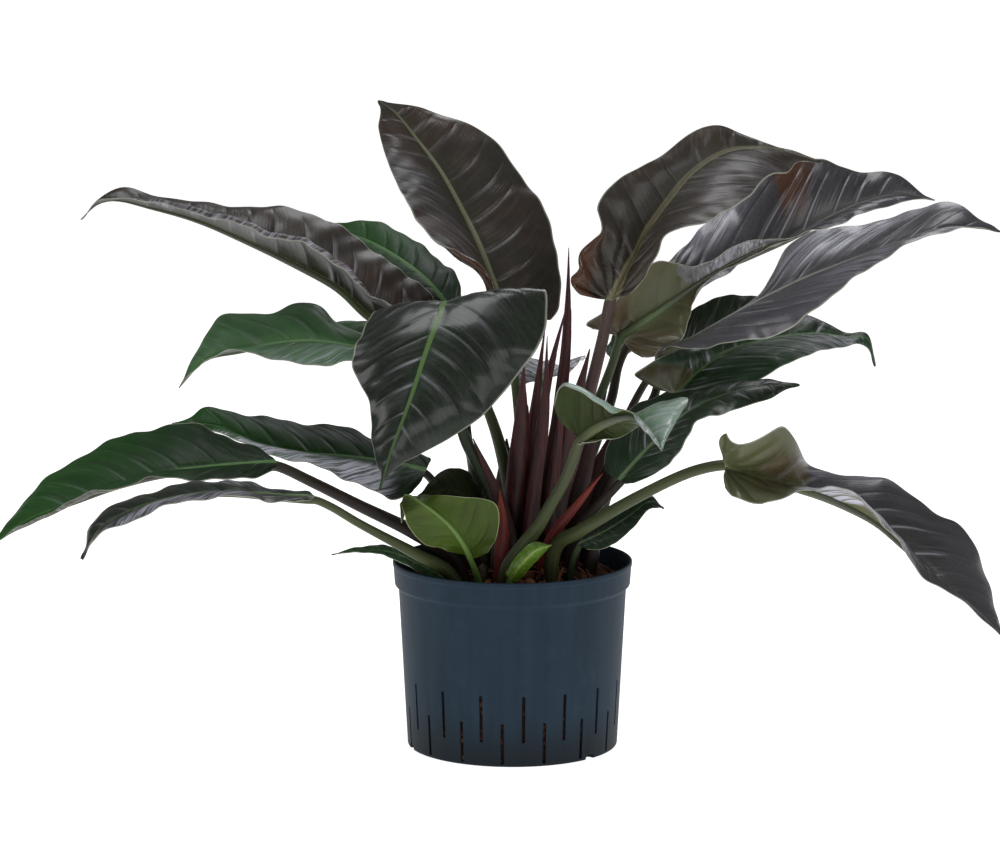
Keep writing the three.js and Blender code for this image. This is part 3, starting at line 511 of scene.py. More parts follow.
SPEARS: dict[str, SpearPlan] = {
    "spear_tall": SpearPlan(
        root=(24, -4), radii=(5, 4.5, 0.8),
        stalk=[(28, 240, 2), (42, 310, 2), (53, 390, 1), (57, 450, 0), (58, 518, 0)],
    ),
    "spear_thin": SpearPlan(
        root=(22, -18), radii=(4, 3, 0.8),
        stalk=[(20, 240, -17), (28, 320, -16), (38, 385, -16), (57, 461, -15)],
    ),
    "spear_middle": SpearPlan(
        root=(14, 8), radii=(4.5, 4, 0.8),
        stalk=[(14, 240, 8), (18, 310, 8), (25, 365, 8), (34, 437, 8)],
    ),
    "spear_front": SpearPlan(
        root=(10, -32), radii=(4.5, 4, 0.8),
        stalk=[(20, 240, -32), (33, 340, -32), (36, 426, -33)],
    ),
    "spear_wide": SpearPlan(
        root=(-8, 2), radii=(6, 8.5, 0.8),
        stalk=[(0, 240, -4), (8, 318, -9), (12, 396, -12)],
    ),
    "spear_right": SpearPlan(
        root=(34, -18), radii=(4.5, 4.5, 1),
        stalk=[(38, 240, -20), (48, 320, -24), (50, 372, -26)],
    ),
    "sheath_red": SpearPlan(
        root=(-14, -40), radii=(6, 6, 1),
        stalk=[(-11, 215, -42), (-13, 264, -44)],
    ),
    "sheath_orange": SpearPlan(
        root=(28, -35), radii=(4, 3.5, 0.8),
        stalk=[(40, 212, -52), (65, 245, -58), (94, 281, -62)],
    ),
}

STEMS: dict[str, StemPlan] = {
    "stem_left": StemPlan(-28, 22, 7, 26, [
        SheathPlan((-22, 30), (-34, 300, 40), 15), SheathPlan((-8, 34), (-6, 318, 44), 17),
        SheathPlan((-34, 8), (-62, 262, 16), 13), SheathPlan((8, -36), (-41, 318, -38), 8),
    ]),
    "stem_right": StemPlan(25, 37, 8, 30, [
        SheathPlan((12, 30), (16, 330, 36), 17), SheathPlan((30, 22), (46, 338, 30), 16),
        SheathPlan((48, 16), (74, 322, 26), 15), SheathPlan((58, 4), (96, 290, 12), 14),
        SheathPlan((36, 8), (58, 352, 14), 13), SheathPlan((52, 14), (98, 372, 22), 15),
        SheathPlan((60, 20), (122, 352, 30), 14), SheathPlan((34, -10), (80, 412, -30), 13),
    ]),
    "stem_front": StemPlan(-30, -26, 7, 22, [
        SheathPlan((-20, -12), (-26, 268, -8), 12), SheathPlan((4, -8), (14, 300, -4), 14),
    ]),
}

COPPER: Colour = (80, 50, 32)
# Colour of the painted sheen on leaves.
PAINTED_SHEEN: Colour = (164, 164, 173)
# Colour of the painted highlights on leaves.
GLEAM: Colour = (190, 190, 203)
# Colour of the painted shade in leaf creases.
CREASE_SHADE: Colour = (20, 18, 17)
DRY_TIP: Colour = (38, 30, 24)

LEAF_SLOTS: dict[Foliage, str] = {
    Foliage.BRONZE: "leaf_bronze", Foliage.DUSK: "leaf_bronze", Foliage.SLATE: "leaf_grey", Foliage.PLUM: "leaf_grey",
    Foliage.GREEN: "leaf_green", Foliage.SOFT: "leaf_green", Foliage.SHEENED_GREEN: "leaf_green",
    Foliage.DEEP: "leaf_dark", Foliage.SHADE: "leaf_dark", Foliage.OLIVE: "leaf_olive",
    Foliage.MINT: "leaf_pale", Foliage.YOUNG: "leaf_pale", Foliage.NEW: "leaf_new",
}

OTHER_SLOTS: dict[str, str] = {
    "leaf_far_right": "leaf_bronze", "leaf_inner_right": "leaf_green", "leaf_rear_centre": "leaf_green",
}


# Shapes


def seen(point: Point) -> np.ndarray:
    """Turns a point as seen in the plane of the pot's axis, moved back along the sight, into a place.

    Args:
        point: x, height and distance back, in millimetres.

    Returns:
        The place in the part's frame, in millimetres.
    """
    x, z, back = point
    reach = 1 - back / EYE[1]
    height = z + SEEN_FROM_HEIGHT
    return np.array([EYE[0] + reach * (x - EYE[0]), back, EYE[2] + reach * (height - EYE[2])])


def spline(points: np.ndarray, t: np.ndarray) -> np.ndarray:
    """Reads a centripetal Catmull-Rom curve through the points.

    Args:
        points: The points that the curve passes, one a row.
        t: Places along the curve from 0 to 1, evenly spread over the spans between points.

    Returns:
        The points of the curve, with the shape of t and one more axis.
    """
    padded = np.vstack([2 * points[0] - points[1], points, 2 * points[-1] - points[-2]])
    last = len(points) - 2
    place = np.clip(t, 0, 1) * (len(points) - 1)
    span = np.minimum(np.floor(place).astype(int), last)
    weight = (place - span)[..., None]
    p0, p1, p2, p3 = (padded[span + k] for k in range(4))
    d0, d1, d2 = (
        np.maximum(np.linalg.norm(b - a, axis=-1, keepdims=True) ** 0.5, 1e-4)
        for a, b in ((p0, p1), (p1, p2), (p2, p3))
    )
    slope1 = ((p1 - p0) / d0 - (p2 - p0) / (d0 + d1) + (p2 - p1) / d1) * d1
    slope2 = ((p2 - p1) / d1 - (p3 - p1) / (d1 + d2) + (p3 - p2) / d2) * d1
    cubic = 2 * p1 - 2 * p2 + slope1 + slope2
    square = -3 * p1 + 3 * p2 - 2 * slope1 - slope2
    return p1 + slope1 * weight + square * weight**2 + cubic * weight**3


def unit(vectors: np.ndarray) -> np.ndarray:
    """Returns the vectors at length one."""
    return vectors / np.maximum(np.linalg.norm(vectors, axis=-1, keepdims=True), 1e-9)


def ease(values: np.ndarray, low: float, high: float) -> np.ndarray:
    """Returns 0 below low and 1 above high, with a smooth step between."""
    share = np.clip((values - low) / (high - low), 0, 1)
    return share * share * (3 - 2 * share)


def wall_radius(z: float) -> float:
    """Returns the radius of the pot's outer wall at a height, in millimetres."""
    return BASE_RADIUS + (RIM_RADIUS - RIM_STEP - 1 - BASE_RADIUS) * z / SHOULDER


def deselect() -> None:
    """Leaves nothing selected, so that an operator acts on the new piece alone."""
    if bpy.context.object and bpy.context.object.mode != "OBJECT":
        bpy.ops.object.mode_set(mode="OBJECT")
    bpy.ops.object.select_all(action="DESELECT")


def take(piece: bpy.types.Object) -> None:
    """Makes one piece the selected and active one."""
    deselect()
    piece.select_set(True)
    bpy.context.view_layer.objects.active = piece


def edit(piece: bpy.types.Object, *steps: Callable[[], Any]) -> None:
    """Runs mesh operators on a whole piece in edit mode.

    Args:
        piece: The piece to edit.
        steps: Calls that each run one operator.
    """
    take(piece)
    bpy.ops.object.mode_set(mode="EDIT")
    for step in steps:
        bpy.ops.mesh.select_all(action="SELECT")
        step()
    bpy.ops.object.mode_set(mode="OBJECT")


def finish_with(piece: bpy.types.Object, kind: str, **settings: Any) -> None:
    """Adds a modifier and applies it.

    Args:
        piece: The piece to change.
        kind: The modifier's type.
        settings: The modifier's own settings.
    """
    take(piece)
    modifier = piece.modifiers.new(kind.title(), kind)
    for key, value in settings.items():
        setattr(modifier, key, value)
    bpy.ops.object.modifier_apply(modifier=modifier.name)


def join(pieces: list[bpy.types.Object], name: str) -> bpy.types.Object:
    """Joins pieces into the first one.

    Args:
        pieces: The pieces, the one that stays first.
        name: The joined piece's name.

    Returns:
        The joined piece.
    """
    take(pieces[0])
    for piece in pieces:
        piece.select_set(True)
    bpy.ops.object.join()
    joined = bpy.context.object
    joined.name = name
    joined.data.name = name
    return joined


def smooth(piece: bpy.types.Object, degrees: float) -> None:
    """Shades a piece smooth, with its edges sharper than an angle left crisp."""
    take(piece)
    bpy.ops.object.shade_smooth_by_angle(angle=math.radians(degrees))


def write_uv(mesh: bpy.types.Mesh, name: str, values: np.ndarray) -> None:
    """Stores two values a vertex as a UV map.

    Args:
        mesh: The mesh that gets the map.
        name: The map's name.
        values: Two numbers for each vertex.
    """
    layer = mesh.uv_layers.get(name) or mesh.uv_layers.new(name=name)
    corners = np.empty(len(mesh.loops), np.int32)
    mesh.loops.foreach_get("vertex_index", corners)
    layer.data.foreach_set("uv", values[corners].astype(np.float32).ravel())


def shaped_grid(
    name: str, places: np.ndarray, maps: dict[str, np.ndarray]
) -> bpy.types.Object:
    """Adds a grid and moves its corners to a table of places.

    Args:
        name: The new piece's name.
        places: Rows and columns of points in millimetres. Faces look along columns x rows.
        maps: UV maps, with two values for each point.

    Returns:
        The new piece.
    """
    rows, columns = places.shape[0] - 1, places.shape[1] - 1
    deselect()
    bpy.ops.mesh.primitive_grid_add(x_subdivisions=columns, y_subdivisions=rows, size=2)
    piece = bpy.context.object
    piece.name = name
    mesh = piece.data
    flat = np.empty(len(mesh.vertices) * 3, np.float32)
    mesh.vertices.foreach_get("co", flat)
    flat = flat.reshape(-1, 3)
    column = np.rint((flat[:, 0] + 1) / 2 * columns).astype(int)
    row = np.rint((flat[:, 1] + 1) / 2 * rows).astype(int)
    mesh.vertices.foreach_set("co", (places[row, column] * MM).astype(np.float32).ravel())
    while mesh.uv_layers:
        mesh.uv_layers.remove(mesh.uv_layers[0])
    for key, values in maps.items():
        write_uv(mesh, key, values[row, column])
    mesh.update()
    return piece


def rolled_tube(
    name: str, rings: np.ndarray, maps: dict[str, np.ndarray]
) -> bpy.types.Object:
    """Rolls a grid into a closed tube.

    Args:
        name: The new piece's name.
        rings: Rings of points in millimetres, each ending where it starts.
        maps: UV maps, with two values for each point.

    Returns:
        The new piece, welded and closed.
    """
    piece = shaped_grid(name, rings, maps)
    edit(
        piece,
        lambda: bpy.ops.mesh.remove_doubles(threshold=1e-7),
        lambda: bpy.ops.mesh.fill_holes(sides=0),
        lambda: bpy.ops.mesh.normals_make_consistent(inside=False),
    )
    return piece


def sweep(
    path: np.ndarray,
    radii: np.ndarray,
    section: Callable[[np.ndarray, int], np.ndarray],
    sides: int,
    flat: tuple[float, float] = (1.0, 1.0),
) -> np.ndarray:
    """Carries a cross-section along a path without twist.

    Args:
        path: The path's points, in millimetres.
        radii: The radius at each point.
        section: Gives the section's share of the radius for its angles at a ring.
        sides: The number of sides.
        flat: How much wider and deeper the section is than its radius.

    Returns:
        The rings, each ending where it starts.
    """
    along = unit(np.gradient(path, axis=0))
    turn = np.linspace(0, 2 * np.pi, sides + 1)
    across = unit(np.cross(along[0], [0.0, 1.0, 0.05]))
    rings = []
    for k, (centre, ahead) in enumerate(zip(path, along)):
        across = unit(across - ahead * np.dot(across, ahead))
        outward = np.cross(ahead, across)
        reach = radii[k] * section(turn, k)
        rings.append(
            centre
            + np.outer(flat[0] * reach * np.cos(turn), across)
            + np.outer(flat[1] * reach * np.sin(turn), outward)
        )
    return np.array(rings)


def arc_shares(points: np.ndarray) -> np.ndarray:
    """Returns the distance along a line of points, from 0 at its start."""
    steps = np.linalg.norm(np.diff(points, axis=0), axis=1)
    return np.concatenate([[0.0], np.cumsum(steps)])


# Materials


def paint(colour: Colour) -> tuple[float, float, float, float]:
    """Turns a colour as a screen shows it into the light that Blender mixes.

    Args:
        colour: Red, green and blue from 0 to 255.

    Returns:
        Linear red, green and blue, and an alpha of one.
    """
    parts = [c / 255 for c in colour]
    linear = [p / 12.92 if p <= 0.04045 else ((p + 0.055) / 1.055) ** 2.4 for p in parts]
    return (linear[0], linear[1], linear[2], 1.0)


class Wire:
    """A value that runs between a material's nodes, with arithmetic written as Python."""

    def __init__(self, bench: Bench, socket: Any) -> None:
        """Wraps one output socket of a bench."""
        self.bench = bench
        self.socket = socket

    def maths(self, operation: str, *others: Wire | float) -> Wire:
        """Adds one Math node.

        Args:
            operation: The node's operation.
            others: Its further inputs.

        Returns:
            The node's result.
        """
        inputs = {k: value for k, value in enumerate((self, *others))}
        return self.bench.out("ShaderNodeMath", {"operation": operation}, inputs)

    def __add__(self, other: Wire | float) -> Wire:
        """Adds."""
        return self.maths("ADD", other)

    __radd__ = __add__

    def __mul__(self, other: Wire | float) -> Wire:
        """Multiplies."""
        return self.maths("MULTIPLY", other)

    __rmul__ = __mul__

    def __sub__(self, other: Wire | float) -> Wire:
        """Takes away."""
        return self.maths("SUBTRACT", other)

    def __rsub__(self, other: float) -> Wire:
        """Takes this value away from a number."""
        return self.bench.out("ShaderNodeMath", {"operation": "SUBTRACT"}, {0: other, 1: self})

    def ease(self, low: Wire | float, high: Wire | float) -> Wire:
        """Rises smoothly from 0 at low to 1 at high."""
        settings = {"interpolation_type": "SMOOTHSTEP", "clamp": True}
        return self.bench.out("ShaderNodeMapRange", settings, {"Value": self, "From Min": low, "From Max": high})


class Bench:
    """One material on which nodes are laid out."""

    def __init__(self, name: str) -> None:
        """Starts a material with a Principled surface.

        Args:
            name: The material's name.
        """
        self.material = bpy.data.materials.new(name)
        self.material.use_nodes = True
        self.tree = self.material.node_tree
        self.surface = next(n for n in self.tree.nodes if n.type == "BSDF_PRINCIPLED")

    def node(
        self, kind: str, settings: dict[str, Any] | None = None, inputs: dict[Any, Any] | None = None
    ) -> bpy.types.Node:
        """Adds one node.

        Args:
            kind: The node's type.
            settings: Its properties, which are set first.
            inputs: Values or wires for its sockets, by name or number.

        Returns:
            The node.
        """
        node = self.tree.nodes.new(kind)
        for key, value in (settings or {}).items():
            setattr(node, key, value)
        for key, value in (inputs or {}).items():
            self.feed(node.inputs[key], value)
        return node

    def feed(self, socket: bpy.types.NodeSocket, value: Any) -> None:
        """Links a wire to a socket, or sets the socket's value."""
        if isinstance(value, Wire):
            self.tree.links.new(value.socket, socket)
        else:
            socket.default_value = value

    def out(
        self, kind: str, settings: dict[str, Any] | None = None, inputs: dict[Any, Any] | None = None, slot: Any = 0
    ) -> Wire:
        """Adds one node and returns one of its outputs."""
        return Wire(self, self.node(kind, settings, inputs).outputs[slot])

    def place(self) -> Wire:
        """Returns the place on the piece, in metres."""
        return self.out("ShaderNodeTexCoord", slot="Object")

    def uv(self, name: str) -> tuple[Wire, Wire]:
        """Returns the two values of a UV map."""
        split = self.node("ShaderNodeSeparateXYZ", None, {0: self.out("ShaderNodeUVMap", {"uv_map": name})})
        return Wire(self, split.outputs[0]), Wire(self, split.outputs[1])

    def vector(self, x: Wire | float, y: Wire | float, z: Wire | float = 0.0) -> Wire:
        """Returns a vector made of three values."""
        return self.out("ShaderNodeCombineXYZ", None, {0: x, 1: y, 2: z})

    def noise(self, where: Wire, scale: float, detail: float = 2.0, roughness: float = 0.5) -> Wire:
        """Returns soft noise about one half."""
        inputs = {"Vector": where, "Scale": scale, "Detail": detail, "Roughness": roughness}
        return self.out("ShaderNodeTexNoise", None, inputs)

    def mix(self, share: Wire | float, first: Wire | Any, second: Wire | Any) -> Wire:
        """Mixes two colours.

        Args:
            share: How much of the second colour shows.
            first: The first colour.
            second: The second colour.

        Returns:
            The mixed colour.
        """
        settings = {"data_type": "RGBA", "clamp_factor": True}
        return self.out("ShaderNodeMix", settings, {0: share, 6: first, 7: second}, slot=2)

    def dress(self, colour: Any, roughness: Any, height: Wire | None = None, **fixed: float) -> bpy.types.Material:
        """Feeds the surface and returns the finished material.

        Args:
            colour: The base colour.
            roughness: The roughness.
            height: Relief in millimetres, for the bump.
            fixed: Further surface values, with _ for a space in the socket's name.

        Returns:
            The material.
        """
        self.feed(self.surface.inputs["Base Color"], colour)
        self.feed(self.surface.inputs["Roughness"], roughness)
        for key, value in fixed.items():
            self.surface.inputs[key.replace("_", " ")].default_value = value
        if height is not None:
            inputs = {"Height": height, "Distance": MM, "Strength": 1.0}
            bump = self.out("ShaderNodeBump", None, inputs)
            self.feed(self.surface.inputs["Normal"], bump)
        return self.material


@dataclass(frozen=True)
class BladeFinish:
    """One face of a leaf: its skin between the veins, its veins and its gloss, with painted sheen, painted highlights,
    painted shade in its creases and a pale margin that is partly a painted rim highlight.
    """

    main: Colour
    patch: Colour
    core: Colour
    vein: Colour
    rib: Colour
    roughness: float = 0.3
    coat: float = 0.15
    shine: float = 0.4
    # How strong the painted sheen is.
    sheen_strength: float = 0.45
    vein_strength: float = 0.4
    raised: bool = False
    far: Colour | None = None
    # How strong the painted shade in the creases is.
    crease: float = 0.3
    # How strong the painted streaks of sheen are; it also scales the fine streaky bump.
    sheen_streaks: float = 1.0

    def make(self, name: str, edge: Colour) -> bpy.types.Material:
        """Makes the face's material.

        Args:
            name: The material's name.
            edge: The colour of the thin pale line along the margin, partly the leaf's own pale edge and partly a
                painted rim highlight.

        Returns:
            The material, with laterals that follow the leaf.
        """
        bench = Bench(name)
        lateral, share = bench.uv("lamina")
        across, along = bench.uv("rib")
        flush = bench.out("ShaderNodeAttribute", {"attribute_name": "flush"}, slot="Fac")
        # Where the blade gets a painted highlight.
        gleam = bench.out("ShaderNodeAttribute", {"attribute_name": "gleam"}, slot="Fac")
        place = bench.place()
        clouds = bench.noise(place, 13.0, 3.0)
        mottle = bench.noise(place, 230.0, 2.0)
        streaks = bench.noise(bench.vector(lateral * 6.0, share * 1.3, along * 2.0), 1.0, 3.0, 0.6)
        fine = bench.noise(bench.vector(lateral * 11.0, share * 1.1, along * 2.0), 1.0, 3.0, 0.6)
        rib = 1.0 - across.ease(0.7, 1.1)
        off_rib = 1.0 - rib
        from_vein = lateral.maths("PINGPONG", 0.5)
        past_vein = lateral.maths("FRACT")
        patchy = clouds.ease(0.3, 0.6) * 0.6 + 0.4
        vein = (1.0 - from_vein.ease(0.006, 0.024)) * (1.0 - share.ease(0.3, 0.85)) * off_rib * patchy
        fold = from_vein.ease(0.0, 0.15) * share.ease(0.02, 0.12) * (1.0 - share.ease(0.55, 0.95)) * patchy
        # Painted sheen: a painted highlight beside each lateral vein and painted streaks of gloss, in patches.
        ridge_highlight = past_vein.ease(0.02, 0.05) * (1.0 - past_vein.ease(0.06, 0.17)) * (1.0 - share.ease(0.15, 0.7))
        grain_and_sheen = (fine.ease(0.6, 0.74) * 0.45 + streaks.ease(0.54, 0.7) * 0.3) * self.sheen_streaks
        sheen = (ridge_highlight * 0.9 + grain_and_sheen) * off_rib * clouds.ease(0.42, 0.6)
        # Painted shade: darkening that rises towards the next lateral vein, in the crease before it.
        crease = past_vein.ease(0.35, 0.9) * (1.0 - past_vein.ease(0.94, 1.0)) * share.ease(0.04, 0.25)
        crease = crease * (1.0 - share.ease(0.6, 0.95)) * patchy
        minor = (1.0 - (lateral * 7.0).maths("PINGPONG", 0.5).ease(0.0, 0.3)) * (1.0 - vein)
        colour = bench.mix(clouds.ease(0.4, 0.62), paint(self.main), paint(self.patch))
        colour = bench.mix((1.0 - share.ease(0.0, 0.4)) * 0.6, colour, paint(self.core))
        if self.far:
            colour = bench.mix(along.ease(0.1, 0.85) * 0.85, colour, paint(self.far))
        colour = bench.mix(flush * (streaks * 0.5 + 0.6), colour, paint(COPPER))
        colour = bench.mix(mottle.ease(0.35, 0.8) * 0.06 + streaks.ease(0.45, 0.8) * 0.08, colour, paint(self.vein))
        # Painted shade in the creases.
        colour = bench.mix(crease * self.crease, colour, paint(CREASE_SHADE))
        # Painted sheen mixed into the colour.
        colour = bench.mix(sheen * self.sheen_strength, colour, paint(PAINTED_SHEEN))
        # Painted highlight: glints mixed in where the blade is marked for them.
        glint = fine.ease(0.48, 0.66) * 0.5 + streaks.ease(0.45, 0.6) * 0.4 + 0.06
        colour = bench.mix(gleam * glint * off_rib, colour, paint(GLEAM))
        colour = bench.mix(vein * self.vein_strength, colour, paint(self.vein))
        colour = bench.mix(rib * (1.0 - along.ease(0.35, 1.0) * 0.55), colour, paint(self.rib))
        # Pale margin line: partly the leaf's own pale edge, partly a painted rim highlight.
        colour = bench.mix(share.ease(0.972, 0.99) * 0.75, colour, paint(edge))
        colour = bench.mix(along.ease(0.985, 0.998), colour, paint(DRY_TIP))
        roughness = streaks * 0.22 + mottle * 0.06 + rib * 0.1 - flush * 0.12 + (self.roughness - 0.14)
        sign = 1.0 if self.raised else -1.0
        height = vein * (0.3 * sign) + fold * (-0.7 * sign) + minor * (0.04 * sign)
        height = height + fine * (0.3 * self.sheen_streaks) + mottle * 0.04
        return bench.dress(
            colour, roughness, height,
            Coat_Weight=self.coat, Coat_Roughness=0.12, Specular_IOR_Level=self.shine,
        )


@dataclass(frozen=True)
class LeafFinish:
    """A leaf's upper and under face and the thin edge between them."""

    upper: BladeFinish
    under: BladeFinish
    # The pale edge colour is partly the leaf's own and partly a painted rim highlight.
    edge: Colour = (158, 160, 146)

    def make(self, name: str) -> list[bpy.types.Material]:
        """Makes the three materials of a blade.

        Args:
            name: The start of their names.

        Returns:
            Upper, under and edge material.
        """
        bench = Bench(f"{name}_edge")
        grain_and_sheen = bench.noise(bench.place(), 160.0)
        # The rim between the faces: partly the leaf's own pale edge, partly a painted rim highlight.
        dark = tuple(round(0.72 * c) for c in self.edge)
        edge = bench.dress(bench.mix(grain_and_sheen, paint(dark), paint(self.edge)), 0.4)
        return [
            self.upper.make(f"{name}_upper", self.edge), self.under.make(f"{name}_under", self.edge), edge,
        ]


@dataclass(frozen=True)
class StalkFinish:
    """A stalk's colours from its root to its collar, and the keel's along the blade."""

    root: Colour
    middle: Colour
    collar: Colour
    keel: Colour
    streak: Colour
    end: Colour = (96, 96, 92)
    roughness: float = 0.42

    def make(self, name: str) -> bpy.types.Material:
        """Makes the stalk's material, with fine streaks along it.

        Args:
            name: The material's name.

        Returns:
            The material.
        """
        bench = Bench(name)
        around, along = bench.uv("lamina")
        streaks = bench.noise(bench.vector(around * 26.0, along * 2.2), 1.0, 3.0, 0.65)
        mottle = bench.noise(bench.place(), 260.0, 3.0, 0.6)
        colour = bench.mix(along.ease(0.0, 0.4), paint(self.root), paint(self.middle))
        colour = bench.mix(along.ease(0.55, 1.0), colour, paint(self.collar))
        colour = bench.mix(along.ease(1.0, 1.2), colour, paint(self.keel))
        colour = bench.mix(along.ease(1.15, 1.4) * 0.75, colour, paint(self.end))
        colour = bench.mix(streaks.ease(0.42, 0.75) * 0.55, colour, paint(self.streak))
        colour = bench.mix(mottle.ease(0.6, 0.75) * 0.25, colour, paint(self.root))
        height = streaks * 0.5 + mottle * 0.06
        return bench.dress(
            colour, mottle * 0.15 + (self.roughness - 0.07), height,
            Coat_Weight=0.03, Coat_Roughness=0.25, Specular_IOR_Level=0.22,
        )


LEAF_FINISHES: dict[Foliage, LeafFinish] = {
    Foliage.BRONZE: LeafFinish(
        BladeFinish(
            (50, 47, 42), (60, 48, 41), (53, 54, 43), (100, 98, 88), (114, 116, 90), 0.34, 0.02, 0.3, 0.24,
            sheen_streaks=0.5,
        ),
        BladeFinish(
            (42, 42, 32), (38, 34, 27), (50, 51, 35), (126, 124, 110), (104, 108, 74), 0.34, sheen_strength=0.9,
            vein_strength=0.6, raised=True, crease=0.9,
        ),
    ),
    Foliage.DUSK: LeafFinish(
        BladeFinish((54, 50, 45), (62, 54, 47), (56, 58, 45), (112, 110, 100), (128, 122, 96), 0.32, 0.06, 0.28, 0.32),
        BladeFinish((46, 44, 34), (46, 37, 28), (56, 57, 38), (124, 122, 104), (104, 108, 74), 0.34, raised=True),
    ),
    Foliage.SLATE: LeafFinish(
        BladeFinish(
            (33, 41, 32), (33, 36, 31), (34, 48, 33), (104, 112, 104), (84, 114, 60), shine=0.22, sheen_strength=0.42,
            sheen_streaks=0.4,
        ),
        BladeFinish(
            (66, 66, 52), (56, 52, 42), (70, 72, 48), (104, 104, 80), (94, 104, 70), 0.4, sheen_strength=0.2, raised=True,
        ),
    ),
    Foliage.PLUM: LeafFinish(
        BladeFinish(
            (71, 70, 75), (60, 58, 61), (66, 68, 66), (116, 116, 122), (134, 136, 128), sheen_strength=0.9, sheen_streaks=0.5,
        ),
        BladeFinish(
            (84, 87, 58), (86, 70, 50), (94, 100, 62), (112, 112, 82), (108, 114, 80), 0.38, sheen_strength=0.4, raised=True,
        ),
    ),
    Foliage.GREEN: LeafFinish(
        BladeFinish(
            (19, 43, 19), (19, 31, 18), (25, 54, 22), (76, 112, 68), (90, 126, 76), 0.44, 0.0, 0.12, 0.2,
            far=(40, 84, 34),
        ),
        BladeFinish(
            (56, 66, 40), (68, 56, 36), (68, 78, 46), (98, 106, 74), (100, 112, 78), 0.42, 0.05, 0.3, 0.2, raised=True,
        ),
    ),
    Foliage.SOFT: LeafFinish(
        BladeFinish((72, 110, 70), (62, 92, 60), (74, 118, 66), (118, 150, 112), (118, 150, 104), 0.42, 0.02, 0.2, 0.3),
        BladeFinish(
            (62, 74, 44), (72, 62, 40), (74, 86, 50), (100, 108, 76), (102, 114, 80), 0.42, 0.05, 0.3, 0.2, raised=True,
        ),
    ),
    Foliage.SHEENED_GREEN: LeafFinish(
        BladeFinish((38, 64, 40), (34, 52, 35), (44, 74, 43), (84, 112, 80), (96, 124, 84), 0.34, 0.1, 0.34, 1.0),
        BladeFinish(
            (56, 60, 36), (62, 46, 30), (66, 72, 42), (96, 98, 66), (98, 106, 72), 0.42, 0.06, 0.3, 0.3, raised=True,
        ),
    ),
    Foliage.DEEP: LeafFinish(
        BladeFinish((30, 48, 29), (28, 40, 26), (36, 58, 34), (74, 96, 74), (96, 116, 84), 0.34, 0.1, 0.36, 0.8),
        BladeFinish(
            (50, 56, 36), (54, 44, 30), (60, 66, 40), (92, 96, 66), (98, 104, 74), 0.42, 0.08, 0.3, 0.2, raised=True,
        ),
    ),
    Foliage.SHADE: LeafFinish(
        BladeFinish(
            (28, 35, 14), (25, 30, 13), (31, 38, 15), (40, 46, 24), (40, 46, 24), 0.5, 0.0, 0.08, 0.0, sheen_streaks=0.3,
        ),
        BladeFinish(
            (30, 34, 18), (28, 30, 16), (34, 40, 20), (44, 50, 30), (50, 56, 36), 0.5, 0.0, 0.1, 0.0, raised=True,
        ),
    ),
    Foliage.OLIVE: LeafFinish(
        BladeFinish(
            (112, 112, 112), (84, 82, 82), (92, 96, 84), (150, 150, 146), (124, 126, 98), 0.26, 0.5, sheen_strength=0.9,
        ),
        BladeFinish(
            (98, 100, 70), (96, 80, 58), (98, 108, 70), (130, 132, 98), (118, 128, 86), 0.38, 0.14, sheen_strength=0.3,
            vein_strength=0.6, raised=True,
        ),
    ),
    Foliage.MINT: LeafFinish(
        BladeFinish(
            (98, 128, 102), (148, 170, 158), (56, 90, 52), (164, 182, 164), (146, 162, 128), 0.26, 0.3, sheen_strength=0.9,
        ),
        BladeFinish(
            (52, 69, 30), (56, 62, 32), (64, 78, 36), (88, 98, 58), (98, 106, 70), 0.46, 0.0, 0.15, 0.1, raised=True,
        ),
    ),
    Foliage.YOUNG: LeafFinish(
        BladeFinish((62, 88, 42), (54, 80, 38), (74, 98, 46), (102, 124, 70), (116, 136, 80)),
        BladeFinish(
            (62, 82, 20), (58, 74, 20), (72, 94, 28), (96, 118, 50), (112, 128, 74), 0.44, 0.02, 0.2, sheen_strength=0.1,
            raised=True,
        ),
        edge=(150, 158, 112),
    ),
    Foliage.NEW: LeafFinish(
        BladeFinish((90, 124, 32), (80, 112, 30), (106, 138, 42), (126, 152, 58), (138, 160, 70), sheen_strength=0.2),
        BladeFinish(
            (102, 132, 44), (92, 122, 38), (114, 142, 50), (130, 156, 66), (142, 162, 78), 0.4, sheen_strength=0.1, raised=True,
        ),
        edge=(150, 170, 90),
    ),
}

STALK_FINISHES: dict[Petiole, StalkFinish] = {
    Petiole.OLIVE: StalkFinish((46, 48, 28), (58, 65, 37), (66, 72, 48), (88, 98, 62), (82, 92, 58)),
    Petiole.GREEN: StalkFinish((20, 22, 14), (32, 42, 26), (74, 87, 57), (124, 142, 102), (50, 62, 38)),
    Petiole.FRESH: StalkFinish((44, 58, 24), (66, 90, 36), (84, 110, 52), (96, 124, 62), (104, 130, 70), (96, 122, 60)),
    Petiole.DARK: StalkFinish((26, 17, 14), (36, 29, 26), (46, 41, 33), (90, 92, 66), (48, 38, 32)),
    Petiole.PURPLE: StalkFinish((46, 20, 18), (72, 46, 48), (80, 68, 62), (100, 100, 70), (108, 84, 88)),
}


# Pieces


def hand_in(piece: bpy.types.Object, slot: str, box: tuple[Vector, Vector], *nodes: str) -> None:
    """Keeps a finished piece inside the part's box, hangs it on the body and hides the solids that it stands for.

    Args:
        piece: The finished piece.
        slot: Not used.
        box: The lowest and highest corner of the solids.
        nodes: The solids that the piece stands for.
    """
    mesh = piece.data
    flat = np.empty(len(mesh.vertices) * 3, np.float32)
    mesh.vertices.foreach_get("co", flat)
    places = np.clip(flat.reshape(-1, 3), np.array(box[0]), np.array(box[1]))
    mesh.vertices.foreach_set("co", places.astype(np.float32).ravel())
    mesh.update()
    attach(piece, BODY)
    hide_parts(*nodes)
    LOG.info("%s: %d faces", piece.name, len(mesh.polygons))


